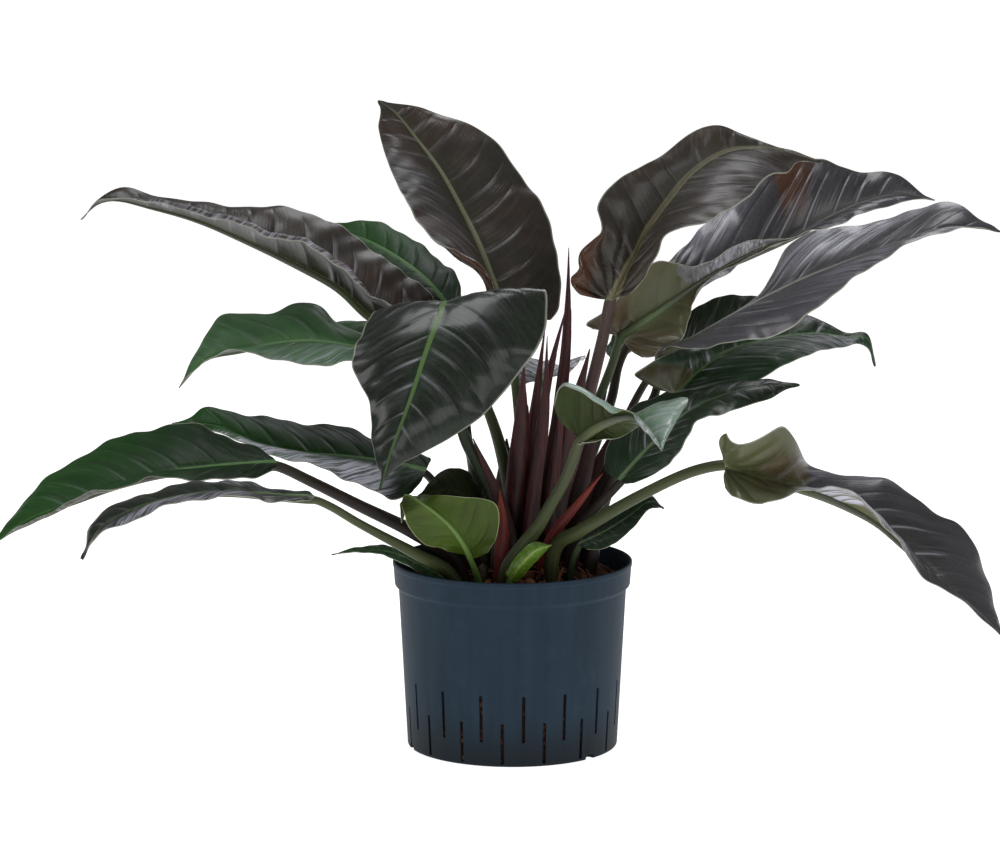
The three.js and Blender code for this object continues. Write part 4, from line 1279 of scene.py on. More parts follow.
@dataclass
class Leaf:
    """One leaf: a veined blade on a stalk that runs on under it as its keel."""

    name: str
    plan: LeafPlan
    rows: int = 128
    half_columns: int = 26
    bow: float = 0.35
    spacing: float = 31.0
    wave: float = 2.2
    rib_height: float = 0.9
    stalk_sides: int = 16
    stalk_steps: int = 60
    rng: np.random.Generator = field(init=False)
    quilt: float = field(init=False)

    def __post_init__(self) -> None:
        """Scales the detail to the leaf's size and seeds its unevenness by its name."""
        self.rng = np.random.default_rng(sum(ord(letter) * k for k, letter in enumerate(self.name, 7)))
        middle = np.array([seen(station[1]) for station in self.plan.stations])
        self.length = float(arc_shares(np.vstack([middle, seen(self.plan.tip)]))[-1])
        self.scale = min(1.0, self.length / 260)
        self.spacing *= max(0.4, self.scale)
        self.quilt = self.scale * self.plan.quilt
        self.wave *= self.scale
        if self.plan.small:
            self.rows, self.half_columns, self.stalk_steps = 64, 16, 30

    def rails(self) -> list[np.ndarray]:
        """Returns the points of the left margin, the midrib and the right margin."""
        end = seen(self.plan.tip)
        lines = []
        for rail in range(3):
            points = [seen(station[rail]) for station in self.plan.stations]
            side = unit(points[-1] - seen(self.plan.stations[-1][1])) * (0.0 if rail == 1 else 0.6)
            lines.append(np.array([*points, end + side]))
        return lines

    def rib_half(self, t: np.ndarray) -> np.ndarray:
        """Returns half the midrib's width along the blade, in millimetres."""
        return max(0.4, self.scale) * self.plan.midrib * (3.5 * (1 - t) + 0.45)

    def surface(self) -> tuple[np.ndarray, np.ndarray, dict[str, np.ndarray]]:
        """Works out the blade's middle surface.

        Returns:
            Its points, its upper normals, and its two UV maps.
        """
        left, middle, right = self.rails()
        side = np.linspace(-1, 1, 2 * self.half_columns + 1)
        share = 0.45 * np.abs(side) + 0.55 * ease(np.abs(side), 0, 1)
        corner = 0.045 * np.clip((share - 0.55) / 0.45, 0, 1) ** 2
        t = corner + (1 - corner) * np.linspace(0, 1, self.rows + 1)[:, None]
        share = np.broadcast_to(share, t.shape)
        rib = spline(middle, t)
        margin = np.where(side[None, :, None] < 0, spline(left, t), spline(right, t))
        ahead = spline(middle, t + 1e-3) - spline(middle, t - 1e-3)
        half = (margin - rib) * (1 - 0.4 * ease(t, 0.86, 0.955) * (1 - ease(t, 0.96, 1.0)))[..., None]
        reach = np.linalg.norm(half, axis=-1)
        upper = unit(np.cross(half, ahead)) * np.where(side < 0, -1, 1)[None, :, None]
        rise = 4 * ARCH * share * (1 - share) * reach
        base = rib + half * share[..., None] + upper * rise[..., None]
        normals = self.facing(base)
        dense = np.linspace(0, 1, 400)
        walked = arc_shares(spline(middle, dense))
        along = np.interp(t, dense, walked)
        out = share * reach
        lean = self.plan.lean * np.where(side < 0, *self.plan.slant)[None, :]
        count = (along - lean * out - self.bow * out**2 / max(1.0, reach.max())) / self.spacing
        count = count + np.where(side < 0, 0.37, 0.0)[None, :] + 4
        phase = self.rng.uniform(0, 2 * np.pi, 2)
        lateral = count + 0.11 * np.sin(1.9 * count + phase[0]) + 0.06 * np.sin(4.3 * count + phase[1])
        across = out / self.rib_half(t)
        height = self.relief(side, share, t, along, lateral, across)
        height = height + self.folds(side, along, out)
        places = base + normals * height[..., None]
        places = self.curled(places, normals, unit(half), side, share, t, reach)
        maps = {"lamina": np.stack([lateral, share], -1), "rib": np.stack([across, t], -1)}
        return places, normals, maps

    @staticmethod
    def facing(points: np.ndarray) -> np.ndarray:
        """Returns the upper normals of a table of points."""
        return unit(np.cross(np.gradient(points, axis=1), np.gradient(points, axis=0)))

    def relief(
        self,
        side: np.ndarray,
        share: np.ndarray,
        t: np.ndarray,
        along: np.ndarray,
        lateral: np.ndarray,
        across: np.ndarray,
    ) -> np.ndarray:
        """Works out how far the skin stands above the plain blade.

        Args:
            side: The columns' side, from -1 at the left margin to 1 at the right one.
            share: The share of the way from the midrib to the margin.
            t: The share of the way along the blade.
            along: The distance along the midrib.
            lateral: The count of laterals passed.
            across: The distance from the midrib in half widths of it.

        Returns:
            The height of each point, in millimetres.
        """
        phase = self.rng.uniform(0, 2 * np.pi, 8)
        arch = np.abs(np.sin(np.pi * lateral)) ** 0.55
        window = ease(share, 0.0, 0.16) * (1 - ease(share, 0.7, 1.0)) * (1 - ease(t, 0.7, 0.98))
        fullness = 0.75 + 0.45 * np.sin(1.3 * lateral + phase[0]) + 0.3 * np.sin(4 * share + phase[5])
        quilted = self.quilt * (arch - 0.7) * window * np.clip(fullness, 0.15, 1.3)
        which = np.where(side < 0, 1, 0)[None, :]
        beat = 2 * np.pi * along / (self.spacing * 2.2)
        waves = np.sin(beat + phase[1 + which]) + 0.5 * np.sin(2.3 * beat + phase[3 + which])
        waved = self.wave * share**2.2 * waves * (1 - 0.5 * t)
        ribbed = self.rib_height * self.scale * np.maximum(0, 1 - across**2) * (1 - 0.6 * t)
        return quilted + waved + ribbed

    def folds(self, side: np.ndarray, along: np.ndarray, out: np.ndarray) -> np.ndarray:
        """Works out the folds that fan out from the collar.

        Args:
            side: The columns' side.
            along: The distance along the midrib.
            out: The distance from the midrib.

        Returns:
            The height of each point, in millimetres.
        """
        size = np.where(side < 0, *self.plan.gather)[None, :] * self.scale
        fan = np.arctan2(out, along + 2.0)
        far = np.hypot(along, out) / self.scale
        phase = self.rng.uniform(0, 2 * np.pi)
        crease = np.abs(np.sin(10.5 * fan + 0.012 * far + phase)) ** 0.8 - 0.6
        return size * crease * ease(fan, 0.15, 0.5) * ease(far, 4, 26) * (1 - ease(far, 52, 92))

    def curled(
        self,
        places: np.ndarray,
        normals: np.ndarray,
        outward: np.ndarray,
        side: np.ndarray,
        share: np.ndarray,
        t: np.ndarray,
        reach: np.ndarray,
    ) -> np.ndarray:
        """Rolls the margin over where the leaf has a curl, and keeps its outline where it was.

        Args:
            places: The points of the blade.
            normals: Their upper normals.
            outward: The directions from the midrib to the margin.
            side: The columns' side.
            share: The share of the way from the midrib to the margin.
            t: The share of the way along the blade.
            reach: The distance from midrib to margin.

        Returns:
            The points with their curls.
        """
        for curl in self.plan.curls:
            ramp = 0.25 * (curl.end - curl.start)
            grown = ease(t, curl.start, curl.start + ramp) * (1 - ease(t, curl.end - ramp, curl.end))
            on_side = (np.sign(side) == curl.side)[None, :]
            width = np.minimum(curl.width * grown, 0.75 * reach) + 1e-6
            bend = math.radians(abs(curl.turn)) * grown + 1e-6
            past = np.clip(width - reach * (1 - share), 0, None)
            radius = width / bend
            forth = radius * np.sin(past / radius)
            lifted = radius * (1 - np.cos(past / radius)) * np.sign(curl.turn)
            lost = width - radius * np.sin(np.minimum(bend, math.pi / 2))
            flat = np.clip(share / (1 - width / reach), 0, 1)
            shift = forth - past + lost * flat**2
            moved = places + outward * shift[..., None] + normals * lifted[..., None]
            places = np.where(on_side[..., None], moved, places)
        return places

    def blade(self) -> tuple[bpy.types.Object, np.ndarray, np.ndarray]:
        """Builds the blade.

        Returns:
            The blade, the points of its midrib and their upper normals.
        """
        places, normals, maps = self.surface()
        piece = shaped_grid(self.name, places, maps)
        for finish in Wardrobe.leaf(self.plan.foliage):
            piece.data.materials.append(finish)
        finish_with(
            piece, "SOLIDIFY", thickness=BLADE_THICKNESS * MM, offset=0.0,
            use_even_offset=False, material_offset=1, material_offset_rim=2,
        )
        self.turn_over(piece)
        self.tint(piece, "flush", self.plan.flush)
        self.tint(piece, "gleam", self.plan.gleam)
        centre = self.half_columns
        return piece, places[:, centre], normals[:, centre]

    def tint(self, piece: bpy.types.Object, name: str, patches: tuple[Patch, ...]) -> None:
        """Marks the corners of the blade that show a tint or a painted highlight.

        Args:
            piece: The blade.
            name: The attribute that holds the tint's strength.
            patches: Where it shows.
        """
        if not patches:
            return
        mesh = piece.data
        lamina, rib = (np.empty(len(mesh.loops) * 2, np.float32) for _ in range(2))
        mesh.uv_layers["lamina"].data.foreach_get("uv", lamina)
        mesh.uv_layers["rib"].data.foreach_get("uv", rib)
        share, along = lamina[1::2], rib[1::2]
        sizes = np.array([face.loop_total for face in mesh.polygons])
        which = np.repeat(self.side_of_faces(mesh), sizes)
        strength = np.zeros(len(share))
        for patch in patches:
            end = patch.start + (patch.end - patch.start) * (0.25 + 0.75 * share)
            fade = end - 0.35 * (patch.end - patch.start) * share
            grown = ease(along, patch.start - patch.soft, patch.start + patch.soft)
            left = np.clip((end - along) / np.maximum(end - fade, 1e-3), 0, 1)
            spread = ease(share, patch.inner, patch.inner + 0.35) * (which == int(patch.side > 0))
            strength = np.maximum(strength, patch.strength * grown * left * spread)
        mark = mesh.attributes.new(name, "FLOAT", "CORNER")
        mark.data.foreach_set("value", strength.astype(np.float32))

    def turn_over(self, piece: bpy.types.Object) -> None:
        """Swaps the two faces' finish where the blade is twisted over.

        Args:
            piece: The blade.
        """
        if not self.plan.turned:
            return
        lamina, rib = (piece.data.uv_layers[key].data for key in ("lamina", "rib"))
        for face, side in zip(piece.data.polygons, self.side_of_faces(piece.data)):
            corner = face.loop_indices[0]
            share, along = lamina[corner].uv[1], rib[corner].uv[1]
            sway = 0.1 * share * (1 - share)
            twisted = any(
                side == int(where > 0) and start - sway <= along < end + sway for where, start, end in self.plan.turned
            )
            if face.material_index < 2 and twisted:
                face.material_index = 1 - face.material_index

    def side_of_faces(self, mesh: bpy.types.Mesh) -> list[int]:
        """Returns 0 for each face left of the midrib and 1 for each right of it."""
        columns = 2 * self.half_columns
        count = columns * self.rows
        sides = []
        for k in range(len(mesh.polygons)):
            sides.append(int(k % count % columns >= self.half_columns))
        return sides

    def stalk(self, midrib: np.ndarray, normals: np.ndarray) -> bpy.types.Object:
        """Builds the stalk and the keel that it runs into.

        Args:
            midrib: The points of the blade's midrib.
            normals: The upper normals there.

        Returns:
            The stalk.
        """
        plan = self.plan
        root = np.array([*plan.root, BED_TOP - ROOT_DEPTH])
        free = [root, *[seen(point) for point in plan.stalk]]
        at = np.rint(np.array([0, 0.05, 0.12, *np.linspace(0.2, 0.96, 22)]) * self.rows).astype(int)
        keel_radii = plan.radii[2] * (1 - at / self.rows) ** 1.1 + 0.45
        keel = midrib[at] - normals[at] * (keel_radii - 0.45)[:, None]
        points = np.vstack([free, keel])
        dense = spline(points, np.linspace(0, 1, 1200))
        walked = arc_shares(dense)
        collar = walked[round(1199 * len(free) / (len(points) - 1))]
        wanted = np.concatenate([
            np.linspace(0, collar, self.stalk_steps, endpoint=False),
            np.linspace(collar, walked[-1], self.stalk_steps + 1),
        ])
        path = np.stack([np.interp(wanted, walked, dense[:, k]) for k in range(3)], -1)
        free_share = np.clip(wanted / collar, 0, 1)
        keel_share = np.clip((wanted - collar) / (walked[-1] - collar), 0, 1)
        radii = np.interp(free_share, [0, 0.5, 1], plan.radii)
        radii = radii * (1 + (plan.clasp - 1) * (1 - ease(free_share, 0.1, 0.75)))
        radii = np.where(keel_share > 0, plan.radii[2] * (1 - keel_share) ** 1.1 + 0.45, radii)
        rings = sweep(path, radii, self.section, self.stalk_sides)
        along = free_share + keel_share
        around = np.linspace(0, 1, self.stalk_sides + 1)
        lamina = np.stack(np.meshgrid(around, along), -1)
        return rolled_tube(f"{self.name}_stalk", rings, {"lamina": lamina, "rib": lamina})

    @staticmethod
    def section(turn: np.ndarray, _ring: int) -> np.ndarray:
        """Returns the stalk's slightly ridged section."""
        return 1 - 0.04 * np.cos(2 * turn) + 0.025 * np.cos(5 * turn)

    def build(self) -> bpy.types.Object:
        """Builds the whole leaf as one piece, blade first."""
        blade, midrib, normals = self.blade()
        stalk = self.stalk(midrib, normals)
        return self.dress(blade, stalk)

    def dress(self, blade: bpy.types.Object, stalk: bpy.types.Object) -> bpy.types.Object:
        """Gives both their materials and joins them.

        Args:
            blade: The blade.
            stalk: The stalk with its keel.

        Returns:
            The leaf.
        """
        stalk.data.materials.append(Wardrobe.stalk(self.plan.petiole))
        leaf = join([blade, stalk], self.name)
        smooth(leaf, 50)
        return leaf


class Wardrobe:
    """Materials that several pieces share, each made once."""

    leaves: dict[Foliage, list[bpy.types.Material]] = {}
    stalks: dict[Petiole, bpy.types.Material] = {}

    @classmethod
    def leaf(cls, foliage: Foliage) -> list[bpy.types.Material]:
        """Returns the upper, under and edge material of a foliage."""
        if foliage not in cls.leaves:
            cls.leaves[foliage] = LEAF_FINISHES[foliage].make(f"leaf_{foliage.value}")
        return cls.leaves[foliage]

    @classmethod
    def stalk(cls, petiole: Petiole) -> bpy.types.Material:
        """Returns the material of a stalk."""
        if petiole not in cls.stalks:
            cls.stalks[petiole] = STALK_FINISHES[petiole].make(f"stalk_{petiole.value}")
        return cls.stalks[petiole]


@dataclass
class Spear:
    """A rolled young leaf, or the red sheath that one grows out of."""

    name: str
    plan: SpearPlan
    finish: bpy.types.Material
    sides: int = 26
    steps: int = 90
    twist: float = 0.7
    overlap: float = 0.2
    flat: tuple[float, float] = (1.45, 0.8)

    def section(self, turn: np.ndarray, ring: int) -> np.ndarray:
        """Returns the rolled section, whose outer edge laps over the next turn."""
        lap = ((turn / (2 * np.pi) + self.twist * ring / self.steps) % 1.0)
        lap[-1] = lap[0]
        flat = 1 - 0.16 * np.cos(2 * (turn - 0.6))
        return (1 - self.overlap * (1 - lap)) * flat

    def build(self) -> bpy.types.Object:
        """Builds the rolled spear."""
        root = np.array([*self.plan.root, BED_TOP - ROOT_DEPTH])
        points = np.array([root, *[seen(point) for point in self.plan.stalk]])
        dense = spline(points, np.linspace(0, 1, 800))
        walked = arc_shares(dense)
        share = np.linspace(0, 1, self.steps + 1)
        path = np.stack([np.interp(share * walked[-1], walked, dense[:, k]) for k in range(3)], -1)
        full = max(self.plan.radii[:2])
        foot = max(full, min(1.4 * full, 6.2))
        radii = np.interp(share, [0, 0.3, 0.5, 1], [foot, foot, full, full])
        radii = radii * np.interp(share, [0, 0.6, 0.8, 0.92, 1], [1, 1, 0.62, 0.26, 0.06])
        rings = sweep(path, radii, self.section, self.sides, self.flat)
        around = np.linspace(0, 1, self.sides + 1)
        lapped = (around[None, :] + self.twist * share[:, None]) % 1.0
        lamina = np.stack([lapped, np.broadcast_to(share[:, None], lapped.shape)], -1)
        piece = rolled_tube(self.name, rings, {"lamina": lamina})
        piece.data.materials.append(self.finish)
        smooth(piece, 45)
        return piece


@dataclass(frozen=True)
class SpearFinish:
    """A spear's colours: dark at the root, its own in the middle, brighter at the lapped edge."""

    root: Colour
    middle: Colour
    tip: Colour
    edge: Colour

    def make(self, name: str) -> bpy.types.Material:
        """Makes the spear's material, with streaks along it.

        Args:
            name: The material's name.

        Returns:
            The material.
        """
        bench = Bench(name)
        around, along = bench.uv("lamina")
        streaks = bench.noise(bench.vector(around * 5.0, along * 2.4), 1.6, 4.0, 0.6)
        colour = bench.mix(along.ease(0.0, 0.35), paint(self.root), paint(self.middle))
        colour = bench.mix(along.ease(0.6, 1.0), colour, paint(self.tip))
        colour = bench.mix(streaks.ease(0.46, 0.75) * 0.3, colour, paint(self.edge))
        lap = around.ease(0.92, 0.99) + (1.0 - around.ease(0.01, 0.05))
        colour = bench.mix(lap * 0.7, colour, paint(self.edge))
        return bench.dress(
            colour, streaks * 0.2 + 0.36, streaks * 0.6, Coat_Weight=0.04, Coat_Roughness=0.2,
            Specular_IOR_Level=0.3,
        )


@dataclass
class Stem:
    """A short crown stem with rings where old leaves came off, and the old sheaths that still stand round it."""

    name: str
    plan: StemPlan
    steps: int = 40
    sides: int = 28
    sheath_rows: int = 36
    sheath_columns: int = 14
    sheath_skin: float = 0.8

    def section(self, turn: np.ndarray, ring: int) -> np.ndarray:
        """Returns the knobbly section of one ring."""
        scar = 0.07 * abs(math.sin(math.pi * 5 * ring / self.steps))
        return 0.93 + scar + 0.03 * np.sin(3 * turn + ring * 0.4)

    def trunk(self) -> bpy.types.Object:
        """Builds the stem itself."""
        plan = self.plan
        low = BED_TOP - ROOT_DEPTH
        share = np.linspace(0, 1, self.steps + 1)
        heights = low + share * (BED_TOP + plan.height - low)
        path = np.stack([plan.x + 0 * share, plan.y + 0 * share, heights], -1)
        radii = plan.radius * np.interp(share, [0, 0.6, 0.92, 1], [1, 0.97, 0.7, 0.3])
        rings = sweep(path, radii, self.section, self.sides)
        around = np.linspace(0, 1, self.sides + 1)
        return rolled_tube(f"{self.name}_trunk", rings, {"lamina": np.stack(np.meshgrid(around, share), -1)})

    def sheath(self, plan: SheathPlan) -> bpy.types.Object:
        """Builds one sheath: a keeled, pointed blade, folded round what it once clasped.

        Args:
            plan: Where it stands.

        Returns:
            The sheath.
        """
        foot = np.array([*plan.root, BED_TOP - 8])
        tip = seen(plan.tip)
        middle = (foot + tip) / 2 + np.array([(foot[0] - tip[0]) * 0.12, 2.0, 6.0])
        t = np.linspace(0, 1, self.sheath_rows + 1)
        spine = spline(np.array([foot, middle, tip]), t)
        along = unit(np.gradient(spine, axis=0))
        across = unit(np.cross(along, [0.0, 1.0, 0.0]))
        behind = np.cross(across, along)
        width = plan.half_width * np.interp(t, [0, 0.25, 0.55, 0.8, 1], [0.8, 1.0, 0.8, 0.42, 0.03])
        side = np.linspace(-1, 1, self.sheath_columns + 1)
        out = np.sin(1.15 * side) / math.sin(1.15)
        back = np.abs(side) ** 1.6 * 0.55
        places = (
            spine[:, None]
            + across[:, None] * (width[:, None] * out)[..., None]
            + behind[:, None] * (width[:, None] * back)[..., None]
        )
        lamina = np.stack(np.meshgrid((side + 1) / 2, t), -1)
        piece = shaped_grid(f"{self.name}_sheath", places, {"lamina": lamina})
        finish_with(piece, "SOLIDIFY", thickness=self.sheath_skin * MM, offset=0.0)
        return piece

    def sheath_finish(self) -> bpy.types.Material:
        """Makes the sheaths' dark, papery maroon with paler edges."""
        bench = Bench(f"{self.name}_sheaths")
        around, along = bench.uv("lamina")
        fibres = bench.noise(bench.vector(around * 22.0, along * 3.0), 1.4, 3.0, 0.65)
        edge = (around - 0.5).maths("ABSOLUTE").ease(0.46, 0.5)
        colour = bench.mix(along.ease(0.1, 0.8), paint((30, 20, 17)), paint((62, 28, 27)))
        colour = bench.mix(fibres.ease(0.45, 0.75) * 0.5, colour, paint((84, 44, 38)))
        colour = bench.mix(edge * along.ease(0.1, 0.6) * 0.7, colour, paint((126, 72, 68)))
        return bench.dress(colour, fibres * 0.2 + 0.4, fibres * 0.5, Specular_IOR_Level=0.35)

    def build(self) -> bpy.types.Object:
        """Builds and dresses the stem and its sheaths."""
        trunk = self.trunk()
        bench = Bench(self.name)
        grain_and_sheen = bench.noise(bench.place(), 180.0, 4.0, 0.65)
        colour = bench.mix(grain_and_sheen.ease(0.35, 0.65), paint((50, 40, 30)), paint((84, 72, 50)))
        trunk.data.materials.append(bench.dress(colour, 0.75, grain_and_sheen * 0.6))
        skin = self.sheath_finish()
        parts = [trunk]
        for plan in self.plan.sheaths:
            sheath = self.sheath(plan)
            sheath.data.materials.append(skin)
            parts.append(sheath)
        piece = join(parts, self.name)
        smooth(piece, 60)
        return piece


def rounded(profile: list[tuple[float, float, float]], steps: int = 5) -> np.ndarray:
    """Rounds the corners of a profile.

    Args:
        profile: Radius, height and corner radius of each point.
        steps: Points on each rounded corner.

    Returns:
        The points of the rounded profile.
    """
    points = []
    for k, (r, z, bend) in enumerate(profile):
        here = np.array([r, z])
        if bend == 0 or k in (0, len(profile) - 1):
            points.append(here)
            continue
        before = unit(np.array(profile[k - 1][:2]) - here) * bend
        after = unit(np.array(profile[k + 1][:2]) - here) * bend
        for t in np.linspace(0, 1, steps):
            points.append(here + before * (1 - t) ** 2 + after * t**2)
    return np.array(points)


def spun(name: str, profile: np.ndarray, steps: int) -> bpy.types.Object:
    """Spins a profile about the pot's axis into a closed body.

    Args:
        name: The new piece's name.
        profile: Radii and heights, in millimetres.
        steps: Steps round the axis.

    Returns:
        The new piece.
    """
    mesh = bpy.data.meshes.new(name)
    corners = [(r * MM, 0.0, z * MM) for r, z in profile]
    mesh.from_pydata(corners, [(k, k + 1) for k in range(len(corners) - 1)], [])
    piece = bpy.data.objects.new(name, mesh)
    bpy.context.scene.collection.objects.link(piece)
    edit(
        piece,
        lambda: bpy.ops.mesh.spin(steps=steps, angle=2 * math.pi, center=(0, 0, 0), axis=(0, 0, 1)),
        lambda: bpy.ops.mesh.remove_doubles(threshold=1e-6),
        lambda: bpy.ops.mesh.normals_make_consistent(inside=False),
    )
    return piece


@dataclass
class Pot:
    """The slotted culture pot."""

    facets: int = 192
    upper_slots: tuple[float, float, float] = (26.0, 75.0, 5.7)
    lower_slots: tuple[float, float, float] = (FLOOR, 46.0, -5.5)

    def profile(self) -> np.ndarray:
        """Returns the wall's rounded profile, from the middle of its underside to the middle of its floor."""
        wall_top = wall_radius(SHOULDER)
        band = RIM_RADIUS - 2
        return rounded([
            (0, 0, 0), (BASE_RADIUS - 0.1, 0, 2.0), (wall_top, SHOULDER, 1.6), (band, SHOULDER + RIM_SLOPE, 1.6),
            (RIM_RADIUS - 0.7, POT_HEIGHT - 5.8, 0.5), (RIM_RADIUS, POT_HEIGHT - 4.8, 0.5),
            (RIM_RADIUS, POT_HEIGHT, 1.1), (RIM_RADIUS - 2.4, POT_HEIGHT, 1.0),
            (band - WALL, SHOULDER + RIM_SLOPE + 1, 1.2), (wall_top - WALL, SHOULDER + 1, 1.2),
            (wall_radius(FLOOR) - WALL, FLOOR, 1.6), (0, FLOOR, 0),
        ])

    def cutter(self) -> bpy.types.Object:
        """Builds all that is cut out of the wall: the two rings of slots and the notches at its foot."""
        width, depth, height = NOTCH_SIZE
        blocks = []
        for low, high, turn in (self.upper_slots, self.lower_slots):
            turns = [turn + 360 * k / SLOTS_AROUND for k in range(SLOTS_AROUND)]
            blocks += self.blocks((SLOT_WIDTH, SLOT_DEPTH, high - low), (low + high) / 2, 1.2, turns)
        blocks += self.blocks((width, depth, 2 * height), 0.0, 2.0, NOTCH_TURNS)
        return join(blocks, "pot_cutter")

    def blocks(
        self, size: Point, middle: float, corner: float, turns: list[float] | tuple[float, ...]
    ) -> list[bpy.types.Object]:
        """Models one rounded block and copies it round the wall.

        Args:
            size: Its width, depth and height.
            middle: The height of its middle.
            corner: The radius of its edges.
            turns: Where the copies stand, in degrees.

        Returns:
            The copies.
        """
        deselect()
        bpy.ops.mesh.primitive_cube_add(size=1, location=(0, -BASE_RADIUS * MM, middle * MM))
        block = bpy.context.object
        edit(block, lambda: bpy.ops.transform.resize(value=[s * MM for s in size]))
        finish_with(block, "BEVEL", width=corner * MM, segments=3, limit_method="NONE")
        copies = []
        for turn in turns:
            piece = bpy.data.objects.new(block.name, block.data.copy())
            bpy.context.scene.collection.objects.link(piece)
            placed = Matrix.Rotation(math.radians(turn), 4, "Z") @ block.matrix_world
            piece.data.transform(placed)
            copies.append(piece)
        bpy.data.objects.remove(block)
        return copies

    def build(self) -> bpy.types.Object:
        """Builds and dresses the pot."""
        piece = spun("pot_body", self.profile(), self.facets)
        cutter = self.cutter()
        finish_with(piece, "BOOLEAN", operation="DIFFERENCE", object=cutter, solver="MANIFOLD")
        bpy.data.objects.remove(cutter)
        piece.data.materials.clear()
        piece.data.materials.append(self.finish())
        for polygon in piece.data.polygons:
            polygon.material_index = 0
        smooth(piece, 35)
        return piece

    def finish(self) -> bpy.types.Material:
        """Makes the pot's matt moulded plastic, with faint flow marks, dust and painted shade along its foot."""
        bench = Bench("pot_plastic")
        place = bench.place()
        split = bench.node("ShaderNodeSeparateXYZ", None, {0: place})
        height = Wire(bench, split.outputs[2])
        flow = bench.noise(
            bench.out("ShaderNodeVectorMath", {"operation": "MULTIPLY"}, {0: place, 1: (60.0, 60.0, 5.0)}), 1.0, 3.0
        )
        grain_and_sheen = bench.noise(place, 900.0, 2.0)
        dust = bench.noise(place, 45.0, 4.0, 0.7).ease(0.5, 0.8)
        colour = bench.mix(flow.ease(0.3, 0.7), paint((30, 45, 58)), paint((35, 52, 66)))
        # Painted shade: the lowest 60 mm of the wall darken towards a near-black grey.
        low = 1.0 - height.ease(0.0, 0.06)
        colour = bench.mix(dust * 0.1, colour, paint((78, 92, 102)))
        colour = bench.mix(low * 0.75, colour, paint((24, 28, 30)))
        return bench.dress(
            colour, flow * 0.12 + grain_and_sheen * 0.1 + 0.46, grain_and_sheen * 0.05 + flow * 0.25, Specular_IOR_Level=0.12
        )


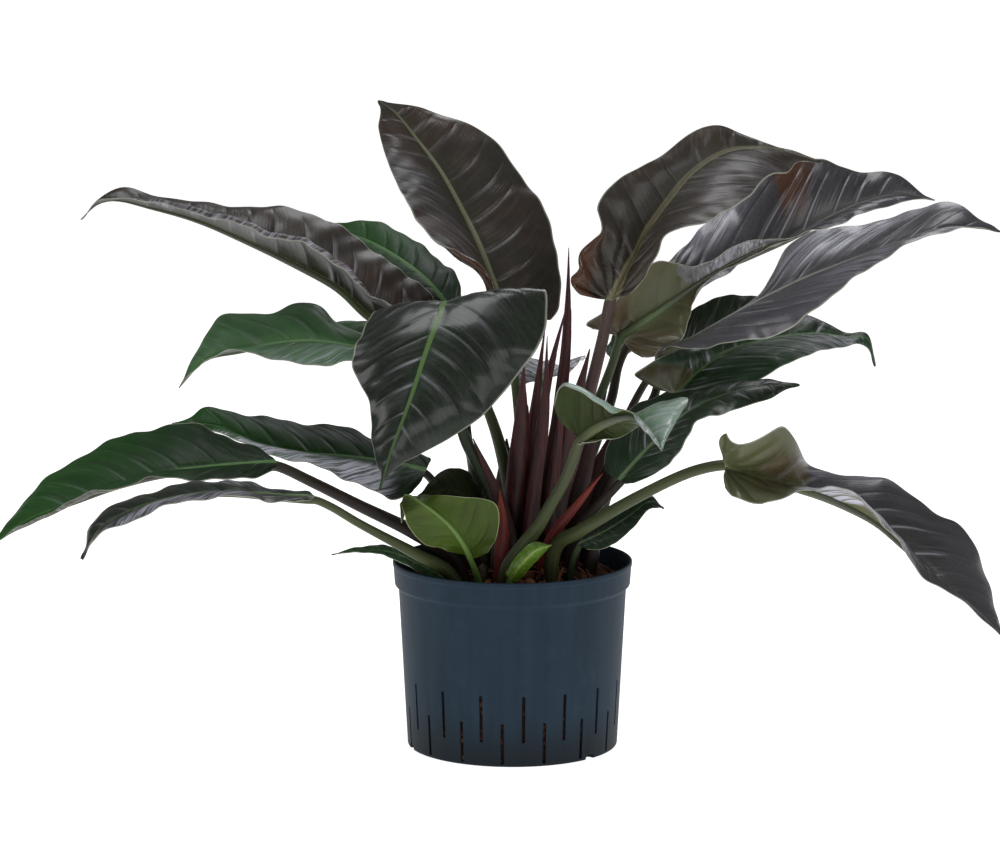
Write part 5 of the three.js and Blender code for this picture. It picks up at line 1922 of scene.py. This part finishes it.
@dataclass
class ClayBed:
    """Expanded clay: a dark core, loose pebbles on it and behind the slots, and roots that lie on top."""

    kinds: int = 6
    roots_shown: int = 44
    rng: np.random.Generator = field(default_factory=lambda: np.random.default_rng(41))

    @staticmethod
    def heap(x: float, y: float) -> float:
        """Returns how far the bed is heaped up round the crown, in millimetres."""
        return 17.0 * float(ease(1 - np.hypot(x - 30, y + 2) / 96, 0.0, 0.62))

    def pebble_kinds(self) -> list[bpy.types.Mesh]:
        """Models a few uneven pebbles, about one unit in radius."""
        meshes = []
        for _ in range(self.kinds):
            deselect()
            bpy.ops.mesh.primitive_uv_sphere_add(segments=8, ring_count=6, radius=1)
            pebble = bpy.context.object
            stretch = self.rng.uniform(0.8, 1.15, 3)
            waves = self.rng.uniform(-1, 1, (4, 3)) * 2.0
            phases = self.rng.uniform(0, 6, 4)
            for vertex in pebble.data.vertices:
                place = np.array(vertex.co)
                swell = 1 + 0.06 * sum(np.sin(place @ wave + phase) for wave, phase in zip(waves, phases))
                vertex.co = Vector(place * stretch * swell)
            meshes.append(pebble.data)
            bpy.data.objects.remove(pebble)
        return meshes

    def spots(self) -> list[tuple[float, float, float, float]]:
        """Chooses where pebbles lie, clear of the stalks.

        Returns:
            The place and radius of each, in millimetres.
        """
        stalks = [(*plan.root, plan.radii[0]) for plan in [*LEAVES.values(), *SPEARS.values()]]
        stalks += [(plan.x, plan.y, plan.radius) for plan in STEMS.values()]
        edge = wall_radius(SHOULDER) - WALL - 1
        chosen: list[tuple[float, float, float, float]] = []
        for _ in range(6000):
            radius = self.rng.uniform(4.2, 7.0)
            angle = self.rng.uniform(0, 2 * np.pi)
            out = (edge - radius) * math.sqrt(self.rng.uniform(0, 1))
            x, y = out * math.cos(angle), out * math.sin(angle)
            if any(math.hypot(x - a, y - b) < r + 0.6 * radius for a, b, r in stalks):
                continue
            if any(math.hypot(x - a, y - b) < 0.78 * (radius + r) for a, b, _, r in chosen):
                continue
            chosen.append((x, y, BED_TOP - 5 + self.heap(x, y) + self.rng.uniform(-1.5, 2.5), radius))
        for low, high, turn in (Pot.upper_slots, Pot.lower_slots):
            for k in range(SLOTS_AROUND):
                facing = math.radians(turn + 360 * k / SLOTS_AROUND - 90)
                for z in np.arange(low + 4, high, 9.0):
                    radius = self.rng.uniform(4.0, 5.6)
                    out = wall_radius(z) - WALL - radius * self.rng.uniform(0.95, 1.25)
                    wander = self.rng.uniform(-2.0, 2.0)
                    x = out * math.cos(facing) - wander * math.sin(facing)
                    y = out * math.sin(facing) + wander * math.cos(facing)
                    chosen.append((x, y, float(z) + self.rng.uniform(-1, 1), radius))
        return chosen

    def pebbles(self) -> list[bpy.types.Object]:
        """Copies the pebbles to their places, each with a tone of its own."""
        kinds = self.pebble_kinds()
        pieces = []
        for x, y, z, radius in self.spots():
            mesh = kinds[self.rng.integers(len(kinds))].copy()
            turn = Matrix.Rotation(self.rng.uniform(0, 6.28), 4, Vector(self.rng.normal(size=3)).normalized())
            mesh.transform(Matrix.Translation((x * MM, y * MM, z * MM)) @ turn @ Matrix.Scale(radius * MM, 4))
            tone = mesh.attributes.new("tone", "FLOAT", "POINT")
            tone.data.foreach_set("value", np.full(len(mesh.vertices), self.rng.uniform(0, 1), np.float32))
            piece = bpy.data.objects.new("pebble", mesh)
            bpy.context.scene.collection.objects.link(piece)
            pieces.append(piece)
        return pieces

    def core(self) -> bpy.types.Object:
        """Builds the dark mass that the pebbles lie on."""
        inside = WALL + 1.2
        top = BED_TOP - 9
        profile = rounded([
            (0, FLOOR + 0.5, 0), (wall_radius(FLOOR) - inside, FLOOR + 0.5, 1.0),
            (wall_radius(top) - inside, top, 3.0), *[(out, top, 0) for out in range(105, -1, -15)],
        ])
        piece = spun("clay_core", profile, 96)
        edit(piece, lambda: bpy.ops.mesh.subdivide(number_cuts=2))
        for vertex in piece.data.vertices:
            x, y, z = vertex.co / MM
            bumps = math.sin(x * 0.6) * math.sin(y * 0.55 + 1) * math.sin(z * 0.5 + x * 0.2)
            vertex.co *= 1 - 0.008 - 0.008 * bumps
            lift = self.heap(x, y) if z > top - 2 else 0.0
            vertex.co.z = max(vertex.co.z + lift * MM, (FLOOR + 0.3) * MM)
        return piece

    def surface_root(
        self, start: tuple[float, float], heading: float, length: float, radius: float,
    ) -> bpy.types.Object:
        """Builds one root that winds over the pebbles.

        Args:
            start: Where it leaves the crown.
            heading: Its direction, in radians.
            length: Its length, in millimetres.
            radius: Its radius, in millimetres.

        Returns:
            The root.
        """
        points = []
        x, y = start
        edge = wall_radius(SHOULDER) - WALL - 5
        for k in range(9):
            rise = 5.5 * math.sin(math.pi * min(k, 6) / 6) + self.rng.uniform(-1, 2)
            points.append((x, y, BED_TOP - 2.5 + self.heap(x, y) + (rise if 0 < k < 8 else -4)))
            heading += self.rng.uniform(-0.55, 0.55)
            x += length / 8 * math.cos(heading)
            y += length / 8 * math.sin(heading)
            out = math.hypot(x, y)
            if out > edge:
                x, y, heading = x * edge / out, y * edge / out, heading + 1.2
        path = spline(np.array(points), np.linspace(0, 1, 41))
        radii = radius * np.linspace(1.0, 0.55, 41)
        rings = sweep(path, radii, lambda turn, ring: 1 + 0.08 * np.sin(3 * turn + ring), 10)
        lamina = np.stack(np.meshgrid(np.linspace(0, 1, 11), np.linspace(0, 1, 41)), -1)
        return rolled_tube("surface_root", rings, {"lamina": lamina})

    def finish(self) -> bpy.types.Material:
        """Makes fired clay, with pores and a tone for each pebble."""
        bench = Bench("expanded_clay")
        place = bench.place()
        tone = bench.out("ShaderNodeAttribute", {"attribute_name": "tone"}, slot="Fac")
        pores = bench.noise(place, 700.0, 4.0, 0.7)
        stains = bench.noise(place, 90.0, 3.0)
        colour = bench.mix(tone, paint((46, 30, 22)), paint((90, 52, 33)))
        colour = bench.mix(tone.ease(0.8, 0.97), colour, paint((128, 84, 56)))
        colour = bench.mix(stains.ease(0.45, 0.7) * 0.8, colour, paint((34, 24, 20)))
        colour = bench.mix(pores.ease(0.6, 0.8) * 0.6, colour, paint((40, 24, 18)))
        return bench.dress(colour, 0.92, pores * 0.7, Specular_IOR_Level=0.25)

    def root_finish(self) -> bpy.types.Material:
        """Makes the roots' pale brown skin."""
        bench = Bench("surface_roots")
        around, along = bench.uv("lamina")
        bark = bench.noise(bench.vector(around * 8.0, along * 14.0), 1.5, 3.0)
        colour = bench.mix(bark.ease(0.35, 0.7), paint((70, 38, 24)), paint((128, 76, 48)))
        return bench.dress(colour, 0.7, bark * 0.5)

    def core_finish(self) -> bpy.types.Material:
        """Makes the shaded mass under the pebbles."""
        bench = Bench("clay_core")
        lumps = bench.noise(bench.place(), 160.0, 4.0)
        return bench.dress(bench.mix(lumps, paint((16, 10, 8)), paint((40, 25, 18))), 0.95, lumps * 2.0)

    def build(self) -> bpy.types.Object:
        """Builds and dresses the whole bed as one piece."""
        core = self.core()
        core.data.materials.append(self.core_finish())
        smooth(core, 60)
        clay, bark = self.finish(), self.root_finish()
        parts = [core]
        for pebble in self.pebbles():
            pebble.data.materials.append(clay)
            parts.append(pebble)
        for k in range(self.roots_shown):
            heading = self.rng.uniform(-1.0, 1.0) if k % 2 else self.rng.uniform(-3.1, 3.1)
            start = (self.rng.uniform(30, 75) if k % 2 else self.rng.uniform(-50, 60), self.rng.uniform(-70, 40))
            root = self.surface_root(start, heading, self.rng.uniform(35, 80), self.rng.uniform(0.7, 2.0))
            root.data.materials.append(bark)
            parts.append(root)
        bed = join(parts, "clay_bed")
        smooth(bed, 60)
        return bed


@dataclass(frozen=True)
class Studio:
    """The pale floor, the soft lights and the camera."""

    aim: Point = (-0.013, 0.0, 0.334)
    sensor: float = 36.0
    focal_pixels: float = 4329.0
    picture_width: float = 1000.0
    overhead: float = 0.13
    horizon: tuple[float, float] = (0.07, 0.2)
    middle: float = 0.35
    far: float = 200.0

    def build(self) -> None:
        """Sets up floor, world, lights and camera."""
        self.floor()
        self.world()
        self.softbox("top_light", (-0.2, 0.15, 2.9), 1.0, 24.0, (0.97, 0.97, 1.0))
        self.softbox("left_light", (-1.9, -0.3, 2.1), 0.8, 10.0, (1.0, 0.98, 1.0))
        self.softbox("back_light", (0.4, 1.7, 2.1), 0.9, 10.0, (0.95, 0.96, 1.0))
        self.softbox("front_light", (1.5, -1.9, 1.6), 0.9, 8.0, (1.0, 0.99, 0.98))
        self.camera()

    def floor(self) -> None:
        """Lays the plain pale floor."""
        deselect()
        bpy.ops.mesh.primitive_plane_add(size=80, location=(0, 0, -0.0003))
        plane = bpy.context.object
        plane.name = "floor"
        bench = Bench("floor")
        bench.surface.inputs["Emission Color"].default_value = (1, 1, 1, 1)
        bench.surface.inputs["Emission Strength"].default_value = 0.93
        plane.data.materials.append(bench.dress(paint((240, 240, 240)), 0.9, Specular_IOR_Level=0.1))
        plane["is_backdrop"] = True

    def world(self) -> None:
        """Fills the room with plain soft light, dimmer overhead than at the horizon."""
        world = bpy.data.worlds.new("room")
        world.use_nodes = True
        nodes, links = world.node_tree.nodes, world.node_tree.links
        background = next(n for n in nodes if n.type == "BACKGROUND")
        direction = nodes.new("ShaderNodeTexCoord")
        split = nodes.new("ShaderNodeSeparateXYZ")
        dimmed = nodes.new("ShaderNodeMapRange")
        dimmed.interpolation_type = "SMOOTHSTEP"
        low, high = self.horizon
        for key, value in (("From Min", low), ("From Max", high), ("To Min", 1.0), ("To Max", self.overhead)):
            dimmed.inputs[key].default_value = value
        links.new(direction.outputs["Generated"], split.inputs[0])
        links.new(split.outputs[2], dimmed.inputs["Value"])
        links.new(dimmed.outputs[0], background.inputs["Strength"])
        background.inputs["Color"].default_value = (1.0, 1.0, 1.0, 1.0)
        bpy.context.scene.world = world
        bpy.context.scene.view_settings.view_transform = "Standard"

    def softbox(self, name: str, place: Point, size: float, power: float, colour: Point) -> None:
        """Hangs one square softbox that faces the plant.

        Args:
            name: The light's name.
            place: Where it hangs, in metres.
            size: Its side, in metres.
            power: Its power, in watts.
            colour: Its colour.
        """
        light = bpy.data.lights.new(name, "AREA")
        light.shape, light.size, light.energy, light.color = "SQUARE", size, power, colour
        lamp = bpy.data.objects.new(name, light)
        lamp.location = place
        lamp.rotation_euler = (Vector((0, 0, self.middle)) - Vector(place)).to_track_quat("-Z", "Y").to_euler()
        bpy.context.scene.collection.objects.link(lamp)

    def camera(self) -> None:
        """Places the camera where the picture was taken from."""
        data = bpy.data.cameras.new("camera")
        data.sensor_width = self.sensor
        data.lens = self.focal_pixels * self.sensor / self.picture_width
        data.clip_end = self.far
        camera = bpy.data.objects.new("camera", data)
        eye = Vector(EYE * MM)
        camera.location = eye
        camera.rotation_euler = (Vector(self.aim) - eye).to_track_quat("-Z", "Y").to_euler()
        bpy.context.scene.collection.objects.link(camera)
        bpy.context.scene.camera = camera


def main() -> None:
    """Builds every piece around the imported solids."""
    logging.basicConfig(level=logging.INFO, format="%(message)s")
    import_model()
    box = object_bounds()
    Studio().build()
    hand_in(Pot().build(), "pot", box, "pot")
    hand_in(ClayBed().build(), "clay", box, "substrate")
    for name, plan in LEAVES.items():
        slot = OTHER_SLOTS.get(name, LEAF_SLOTS[plan.foliage])
        hand_in(Leaf(f"{name}_dressed", plan).build(), slot, box, name)
    maroon = SpearFinish((24, 11, 9), (46, 16, 16), (66, 34, 41), (148, 54, 48)).make("spear_maroon")
    red = SpearFinish((44, 14, 12), (92, 26, 22), (136, 54, 40), (156, 66, 50)).make("sheath_red")
    for name, plan in SPEARS.items():
        rolled = name.startswith("spear")
        piece = Spear(f"{name}_dressed", plan, maroon if rolled else red).build()
        hand_in(piece, "spear" if rolled else "sheath", box, name)
    for name, plan in STEMS.items():
        hand_in(Stem(f"{name}_dressed", plan).build(), "stem", box, name)
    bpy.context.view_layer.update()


if __name__ == "__main__":
    main()
